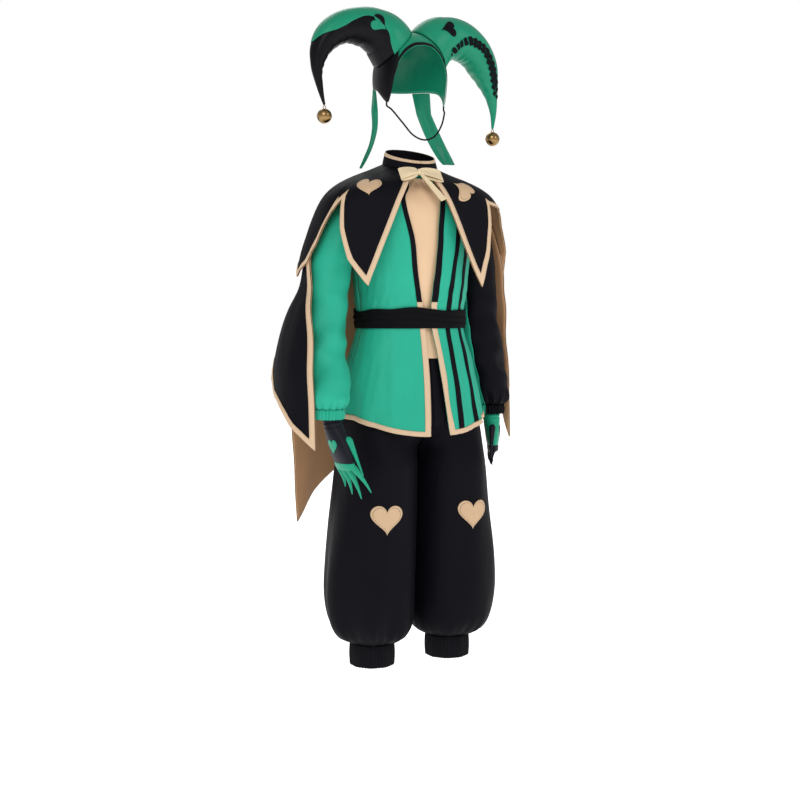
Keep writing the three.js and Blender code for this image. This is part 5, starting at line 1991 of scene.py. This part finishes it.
    @staticmethod
    def braid() -> None:
        """The braid of overlapping lozenges along the left horn."""
        leaves = []
        rows = [(i, row[3]) for i, row in enumerate(HORN_LEFT)]
        count = 32
        for k in range(count):
            at = 1.55 + (8 - 1.55) * k / (count - 1)
            radius = float(read(rows, np.array(at)))
            size = min(max(radius / 24, 0.36), 1.0)
            step = 5.0 * size
            middle = float(read(BRAID_LINE, np.array(at)))
            side = 1 if k % 2 else -1
            u, v = np.meshgrid(np.linspace(-1, 1, 5), np.linspace(-1, 1, 5), indexing="ij")
            p = side * step + (u + v) * 0.5 * 7.6 * size
            q = (u - v) * 0.5 * 8.6 * size
            length = 30.0
            dome = 1 - np.maximum(np.abs(u), np.abs(v)) ** 3
            lift = 1.7 + 1.1 * dome + 0.35 * (k % 2) - 0.05 * q
            turn = middle - np.degrees(p / radius)
            points = horn_point(HORN_LEFT, at + q / length, turn, lift)
            core = horn_point(HORN_LEFT, at + q / length, turn, -radius)
            leaves.append(Grid(points, False, unit(points - core)))
        sew("horn_braid", leaves, "black_cloth", ["hat_braid"], thick=1.4, fine=1)

    @staticmethod
    def elastic() -> None:
        """The chin elastic, from one ear corner under the chin to the other."""
        half = [(-74.3, -27.6, 1629), (-74, -28.6, 1619), (-68, -43, 1608), (-50, -62, 1577),
                (-28, -70, 1550), (0, -72, 1540)]
        path = np.array(half + [(-x, y, z) for x, y, z in half[-2::-1]], float)
        t = np.arange(len(path))
        fine = np.linspace(0, len(path) - 1, 90)
        smoothed = np.stack(
            [read(np.stack([t, path[:, i]], axis=1), fine, 1) for i in range(3)], axis=1
        )
        cord = sew(
            "chin_elastic", tube(smoothed, 2.0, 10), "elastic", ["hat_chin_elastic"], thick=0,
            fine=0
        )

    @staticmethod
    def tails() -> None:
        """The green tails at the nape."""
        right = ((-62, 62, 1620, 15, 35), (-64, 57, 1580, 12, 30), (-76, 50, 1540, 9, 25),
                 (-94, 44, 1505, 7, 20), (-108, 42, 1480, 3, 15))
        left = ((70, 64, 1620, 18, -36), (84, 55, 1580, 19, -30), (98, 46, 1545, 19, -25),
                (110, 34, 1515, 18, -20), (118, 26, 1498, 15, -15))
        for name, table, turns in (("right", right, (115, 145)), ("left", left, (215, 245))):
            rows = [(i, *row) for i, row in enumerate(table, 1)]

            def point(side: Array, k: Array, rows: list = rows, turns: tuple = turns) -> Array:
                """A point of the piece.

                Args:
                    side: The side, or its sign.
                    k: Which column or piece it is.
                    rows: Places of the rows.
                    turns: Turns of the columns, in degrees.

                Returns:
                    The points.
                """
                at = np.maximum(k, 1)
                x, y, z, w, turn = (read(rows, at, i) for i in range(1, 6))
                across = side * w
                fold = 2.2 * (1 - side**2) + 1.0 * np.sin(side * 5 + k)
                c, s = np.cos(np.radians(turn)), np.sin(np.radians(turn))
                free = points_of(x + across * c - fold * s, y + across * s + fold * c, z)
                around = turns[0] + (turns[1] - turns[0]) * (side + 1) / 2
                nape = hood_point(around, hood_edge(around)) - np.array([0, 0, SEAM + 0.1])
                t = smooth(k, 0, 1)[..., None]
                return nape * (1 - t) + free * t

            grid = grid_of(np.linspace(-1, 1, 13), np.linspace(0, 5, 44), point)
            tail = sew(
                f"nape_tail_{name}", grid, "green_satin", [f"hat_tail_{name}"], offset=0.0, fine=1
            )


def tube(path: Array, radius: float | Array, sides: int, closed: bool = False) -> Grid:
    """A round tube along a path.

    Args:
        path: Points along the middle.
        radius: Its radius.
        sides: How many sides it has.
        closed: Whether the last column joins the first.

    Returns:
        The grid.
    """
    ahead = unit(np.roll(path, -1, 0) - np.roll(path, 1, 0)) if closed else unit(
        np.gradient(path, axis=0)
    )
    spread = path.std(axis=0)
    steady = np.eye(3)[int(np.argmin(spread))]
    one = unit(np.cross(ahead, steady))
    two = np.cross(ahead, one)
    turn = np.radians(np.arange(sides) * 360 / sides)[:, None, None]
    way = one * np.cos(turn) + two * np.sin(turn)
    size = np.broadcast_to(np.asarray(radius, float), (len(path),))[None, :, None]
    points, normals = path + way * size, way
    if closed:
        points = np.concatenate([points, points[:, :1]], axis=1)
        normals = np.concatenate([way, way[:, :1]], axis=1)
    else:
        caps = [np.broadcast_to(path[i], (sides, 1, 3)) for i in (0, -1)]
        points = np.concatenate([caps[0], points, caps[1]], axis=1)
        normals = np.concatenate([way[:, :1], way, way[:, -1:]], axis=1)
    return Grid(points, True, normals)


@dataclass(frozen=True)
class Bell:
    """A round jingle bell on its short thread.

    Attributes:
        side: Which horn it hangs from.
        place: Its middle.
        radius: Its radius.
    """

    side: Side
    place: tuple[float, float, float]
    radius: float = 17.0

    def build(self) -> None:
        """Makes the shell with its slot, the rim, the eye and the thread."""
        name = f"bell_{self.side.name.lower()}"
        at = np.array(self.place)
        turns, tilts = np.arange(0, 360, 4.0), np.linspace(-89, 89, 60)
        u, v = np.meshgrid(np.radians(turns), np.radians(tilts), indexing="ij")
        way = points_of(np.cos(u) * np.cos(v), np.sin(u) * np.cos(v), np.sin(v))
        ball = at + way * self.radius
        mid = way[:, :-1] * self.radius
        slot = (np.abs(mid[..., 1]) < 1.5) & (mid[..., 2] < -6)
        holes = (np.hypot(np.abs(mid[..., 0]) - 14.6, mid[..., 1]) < 2.6) & (mid[..., 2] < -4)
        shell = Grid(ball, True, way)
        sew(
            f"{name}_shell", shell, "brass", [name], thick=1.2, keep=~(slot | holes), body=name,
            fine=0
        )
        around = np.radians(np.arange(0, 360, 4.0))
        rim = at + points_of(np.cos(around), np.sin(around), 0 * around) * self.radius
        eye = at + points_of(np.cos(around), 0 * around, np.sin(around)) * 3.4
        eye = eye + np.array([0, 0, self.radius + 2.6])
        sew(f"{name}_rim", tube(rim, 1.15, 8, True), "brass", thick=0, body=name, fine=0)
        sew(f"{name}_eye", tube(eye, 1.0, 8, True), "brass", thick=0, body=name, fine=0)
        top = at + np.array([0, 0, self.radius + 6.0])
        thread = np.linspace(top, top + np.array([0, 0, 3.6]), 5)
        sew(f"{name}_thread", tube(thread, 0.55, 6), "elastic", thick=0, body=name, fine=0)


@dataclass(frozen=True)
class Bow:
    """The satin bow at the throat."""

    place: tuple[float, float, float] = (-26.4, -94.6, 1463.0)
    lean: float = 0.7

    def spot(self, x: Array, y: Array, z: Array) -> Array:
        """A point of the bow, which leans back with the capelet.

        Args:
            x: Sideways places.
            y: Places from front to back.
            z: Heights above the soles.

        Returns:
            The points.
        """
        return np.array(self.place) + points_of(x, y + self.lean * z, z)

    def build(self) -> None:
        """Makes two loops, a knot and the tail."""
        parts = []
        for side, reach, dip in ((-1, 46, 0.17), (1, 56, 0.13)):

            def loop(
                turn: Array, row: Array, side: int = side, reach: int = reach, dip: float = dip
            ) -> Array:
                """A point of one loop of the bow.

                Args:
                    turn: Turns round the piece, in degrees.
                    row: Places along the loop.
                    side: The side, or its sign.
                    reach: How far the loop reaches.
                    dip: How far its end hangs.

                Returns:
                    The points.
                """
                out = reach * (1 - np.cos(np.radians(turn))) / 2
                wide = np.sin(np.radians(turn)) * 8
                pinch = 1.2 * np.sin(row * 6.0) * np.exp(-out / 14)
                sag = 1.5 * np.sin(np.pi * out / reach) * np.sin(row * 2.4 + side)
                across = row * (6 + 9 * np.sin(np.radians(turn / 2)))
                return self.spot(
                    side * (out + 3),
                    -2 + 0.1 * out - wide * 0.4 + pinch + sag,
                    across * 0.9 + wide * 0.5 - dip * out,
                )

            parts.append(grid_of(np.linspace(8, 352, 48), np.linspace(-1, 1, 15), loop))
        table = (
            (0, 0, -3, -2, 3), (1, 6, -5, -12, 5), (2, 15, -6, -27, 6.5), (3, 26, -6, -46, 7.5),
            (4, 38, -6, -66, 8.5),
        )

        def tail(side: Array, k: Array) -> Array:
            """A point of one tail.

            Args:
                side: The side, or its sign.
                k: Which column or piece it is.

            Returns:
                The points.
            """
            x, y, z, w = (read(table, k, i) for i in range(1, 5))
            out = points_of(side * w * 0.85, 0.8 * np.sin(side * 3 + k), side * w * 0.4)
            return self.spot(x, y, z) + out

        parts.append(grid_of(np.linspace(-1, 1, 9), np.linspace(0, 4, 30), tail))
        ribbon = sew("bow_ribbon", parts, "cream_satin", ["bow"], offset=0.0, fine=1)
        tilts = np.radians(np.linspace(-90, 90, 17))
        spins = np.radians(np.arange(0, 360, 9.0))
        u, v = np.meshgrid(spins, tilts, indexing="ij")
        crease = 1 + 0.05 * np.sin(u * 9)
        knot = points_of(
            np.cos(u) * np.cos(v) * 5.0 * crease, np.sin(u) * np.cos(v) * 5.2 * crease,
            np.sin(v) * 7.1
        )
        middle = np.array(self.place) + np.array([0, -2.0, 0])
        sew("bow_knot", Grid(middle + knot, True), "cream_satin", thick=0)


@dataclass(frozen=True)
class Glove:
    """A glove whose fingers end in long pointed claws.

    Attributes:
        side: Which hand.
        wrist: Middle of the wrist.
        knuckle: Middle of the knuckles.
        wide: Turn of the hand's width, in degrees.
        looks: Finishes of the hand and of the claws.
        fingers: Offset across the hand and the tip of each finger.
        thumb: Root and tip of the thumb.
        back: Turn of the hand's back, where the heart lies.
    """

    side: Side
    wrist: tuple[float, float, float]
    knuckle: tuple[float, float, float]
    wide: float
    looks: tuple[str, str]
    fingers: Sequence[tuple[float, float, float, float]]
    thumb: tuple[tuple[float, float, float], tuple[float, float, float]]
    back: float

    def axes(self) -> tuple[Array, Array, Array]:
        """Across the hand, down it, and through it.

        Returns:
            The three unit vectors.
        """
        turn = math.radians(self.wide)
        across = np.array([math.sin(turn), -math.cos(turn), 0.0])
        down = unit(np.array(self.knuckle, float) - np.array(self.wrist, float))
        return across, down, unit(np.cross(across, down))

    def hand(self, turn: Array, share: Array, away: Array = 0.0) -> Array:
        """A point of the hand, from the wrist at 0 to the knuckles at 1.

        Args:
            turn: Turns round the piece, in degrees.
            share: Shares of the way along the piece, from 0 to 1.
            away: Distance out from the surface.

        Returns:
            The points.
        """
        table = (
            (0, 20.5, 20), (0.16, 21, 20), (0.34, 28, 20), (0.6, 37, 18), (0.85, 41, 16),
            (1, 40, 14)
        )
        across, _, thick = self.axes()
        share = np.asarray(share, float)
        wrist, knuckle = np.array(self.wrist, float), np.array(self.knuckle, float)
        spot = wrist + (knuckle - wrist) * share[..., None]
        c, s = np.cos(np.radians(turn)), np.sin(np.radians(turn))
        ribs = 1.2 * np.sin(share * 70) * (1 - smooth(share, 0.2, 0.4)) + away
        return (
            spot
            + across * ((read(table, share, 1) + ribs) * c)[..., None]
            + thick * ((read(table, share, 2) + ribs) * s)[..., None]
        )

    def claw(self, root: Array, tip: Array, size: tuple[float, float], outward: Array) -> Grid:
        """A long claw, a little curved, with a stitched ring where it starts.

        Args:
            root: Where it starts.
            tip: Where it ends.
            size: Width and depth at its root.
            outward: The way of its outer face.

        Returns:
            The grid.
        """
        across, _, thick = self.axes()
        s = np.linspace(0, 1, 26)
        line = root + (tip - root) * s[:, None] + outward * (4.0 * np.sin(np.pi * s) * s)[:, None]
        shrink = np.maximum(1 - 0.88 * s**0.85, 0.1) * (
            1 + 0.07 * np.exp(-(((s - 0.34) / 0.05) ** 2))
        )
        shrink = shrink * np.sqrt(1 - np.clip(1 - s / 0.12, 0, 0.94) ** 2)
        turn = np.radians(np.arange(0, 360, 15.0))[:, None]
        points = (
            line[None]
            + across * (size[0] * shrink * np.cos(turn))[..., None]
            + thick * (size[1] * shrink * np.sin(turn))[..., None]
        )
        end = np.broadcast_to(tip + unit(tip - root) * 1.0, (24, 1, 3))
        first = np.broadcast_to(root, (24, 1, 3))
        return Grid(np.concatenate([first, points, end], axis=1), True)

    def build(self) -> None:
        """Makes the hand, the fingers, the thumb and the heart."""
        name = self.side.name.lower()
        across, down, thick = self.axes()
        hand = grid_of(np.arange(0, 360, 6.0), np.linspace(0, 1, 40), self.hand, closed=True)
        piece = sew(f"glove_{name}_cloth", hand, self.looks[0], [f"glove_{name}_hand"], fine=0)
        knuckle = np.array(self.knuckle, float) + down * 0.6
        turn = np.radians(np.arange(0, 360, 6.0))[:, None]
        drop = np.array([0.0, 3, 6, 9, 12, 15, 17, 18, 18])
        size = np.array([1.0, 0.995, 0.99, 0.985, 0.97, 0.9, 0.7, 0.4, 0.02])
        band = (
            (knuckle + down * drop[:, None])[None]
            + across * (40 * size * np.cos(turn))[..., None]
            + thick * (14 * size * np.sin(turn))[..., None]
        )
        parts = [Grid(band, True)]
        for offset, *tip in self.fingers:
            root = knuckle + across * offset + down * 3
            spread = thick * (-1 if self.back > 0 else 1)
            parts.append(self.claw(root, np.array(tip, float), (9.6, 10.4), spread))
        claws = sew(
            f"glove_{name}_claws", parts, self.looks[1], [f"glove_{name}_fingers"], thick=0.9,
            fine=1
        )
        root, tip = (np.array(spot, float) for spot in self.thumb)
        thumb = self.claw(root, tip, (7.5, 9), down * 0)
        tip_piece = sew(
            f"glove_{name}_thumb_claw", thumb, self.looks[1], [f"glove_{name}_thumb"],
            thick=0.9, fine=1,
        )
        middle = (np.array(self.wrist, float) + np.array(self.knuckle, float)) / 2

        def surface(turn: Array, share: Array) -> Array:
            """A point of the surface.

            Args:
                turn: Turns round the piece, in degrees.
                share: Shares of the way along the piece, from 0 to 1.

            Returns:
                The points.
            """
            return self.hand(turn, np.asarray(share) / 100)

        grid = heart_grid(surface, self.back * 0.95, 66, 37, 180, lift=0.8, within=middle)
        heart = sew(f"back_heart_{name}", grid, self.looks[1], [f"glove_{name}_heart"], thick=0.8)


GLOVES = (
    Glove(Side.RIGHT, (-248, -100, 924), (-229, -134, 821), 4, ("glove_black", "glove_green"),
          ((30, -179, -166, 754), (10, -195, -150, 740), (-10, -208, -131, 749),
           (-30, -216, -112, 764)),
          ((-227, -150, 876), (-208, -188, 795)), -90),
    Glove(Side.LEFT, (230, 17, 912), (226, 3, 826), -26, ("glove_green", "glove_black"),
          ((30, 207, -30, 788), (10, 214, -15, 777), (-10, 220, 2, 778), (-30, 226, 20, 785)),
          ((209.5, -24.5, 876), (192, -46, 796)), 90),
)


# Studio


@dataclass(frozen=True)
class Studio:
    """Camera at the photograph's angle, pale floor and soft lights."""

    distance: float = 3.06
    azimuth: float = -27.0
    height: float = -0.30
    lens: float = 58.8
    ambient: float = 0.55

    def build(self) -> None:
        """Makes the camera, the floor, the world and the lights."""
        turn = math.radians(self.azimuth)
        camera = bpy.data.cameras.new("Camera")
        camera.lens = self.lens
        camera.sensor_width = 36
        camera.shift_x = -0.0125
        camera.shift_y = -0.1125
        holder = bpy.data.objects.new("Camera", camera)
        holder.location = (
            math.sin(turn) * self.distance, -math.cos(turn) * self.distance, self.height
        )
        holder.rotation_euler = (math.radians(90), 0, turn)
        bpy.context.scene.collection.objects.link(holder)
        bpy.context.scene.camera = holder
        self.floor()
        world = bpy.data.worlds.new("Studio")
        world.use_nodes = True
        back = world.node_tree.nodes["Background"]
        back.inputs["Color"].default_value = (1, 1, 1, 1)
        maker = NodeMaker(world.node_tree)
        seen = maker.add("ShaderNodeLightPath").outputs["Is Camera Ray"]
        strength = maker.span(seen, self.ambient, 1.0)
        world.node_tree.links.new(strength, back.inputs["Strength"])
        bpy.context.scene.world = world
        bpy.context.scene.view_settings.view_transform = "Standard"
        for spot, size, power in (
            ((-2.0, -2.6, 1.7), 1.8, 42.0),
            ((1.6, -2.8, 1.2), 1.6, 20.0),
            ((0.4, 2.4, 2.2), 1.6, 16.0),
        ):
            lamp = bpy.data.lights.new("Soft", "AREA")
            lamp.energy, lamp.size = power, size
            holder = bpy.data.objects.new("Soft", lamp)
            holder.location = spot
            aim = Vector((0, 0, -0.4)) - Vector(spot)
            holder.rotation_euler = aim.to_track_quat("-Z", "Y").to_euler()
            bpy.context.scene.collection.objects.link(holder)

    @staticmethod
    def floor() -> None:
        """The pale floor, which fades to white far away."""
        mesh = bpy.data.meshes.new("floor")
        sheet = bmesh.new()
        bmesh.ops.create_grid(sheet, x_segments=4, y_segments=4, size=14.0)
        sheet.to_mesh(mesh)
        sheet.free()
        floor = bpy.data.objects.new("floor", mesh)
        floor.location = (0, 0, -NECK_HEIGHT / 1000)
        bpy.context.scene.collection.objects.link(floor)
        made = bpy.data.materials.new("floor")
        made.use_nodes = True
        tree = made.node_tree
        shader = tree.nodes["Principled BSDF"]
        shader.inputs["Roughness"].default_value = 0.9
        shader.inputs["Base Color"].default_value = (0.8, 0.8, 0.8, 1)
        shader.inputs["Emission Color"].default_value = (1, 1, 1, 1)
        maker = NodeMaker(tree)
        length = maker.add("ShaderNodeVectorMath")
        length.operation = "LENGTH"
        tree.links.new(maker.add("ShaderNodeTexCoord").outputs["Object"], length.inputs[0])
        fade = maker.add("ShaderNodeMapRange")
        fade.interpolation_type = "SMOOTHSTEP"
        fade.inputs["From Min"].default_value = 0.3
        fade.inputs["From Max"].default_value = 2.0
        fade.inputs["To Min"].default_value = 0.45
        fade.inputs["To Max"].default_value = 1.1
        tree.links.new(length.outputs["Value"], fade.inputs["Value"])
        tree.links.new(fade.outputs["Result"], shader.inputs["Emission Strength"])
        mesh.materials.append(made)


def main() -> None:
    """Builds the costume's looks and the studio."""
    logging.basicConfig(level=logging.INFO)
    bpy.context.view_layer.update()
    Studio().build()
    Jacket().build()
    make_sleeves()
    Cape().build()
    Capelet().build()
    Trousers().build()
    Hood().build()
    Bell(Side.RIGHT, (-219, -3, 1589)).build()
    Bell(Side.LEFT, (225, 2, 1563.7)).build()
    Bow().build()
    for glove in GLOVES:
        glove.build()


if __name__ == "__main__":
    main()
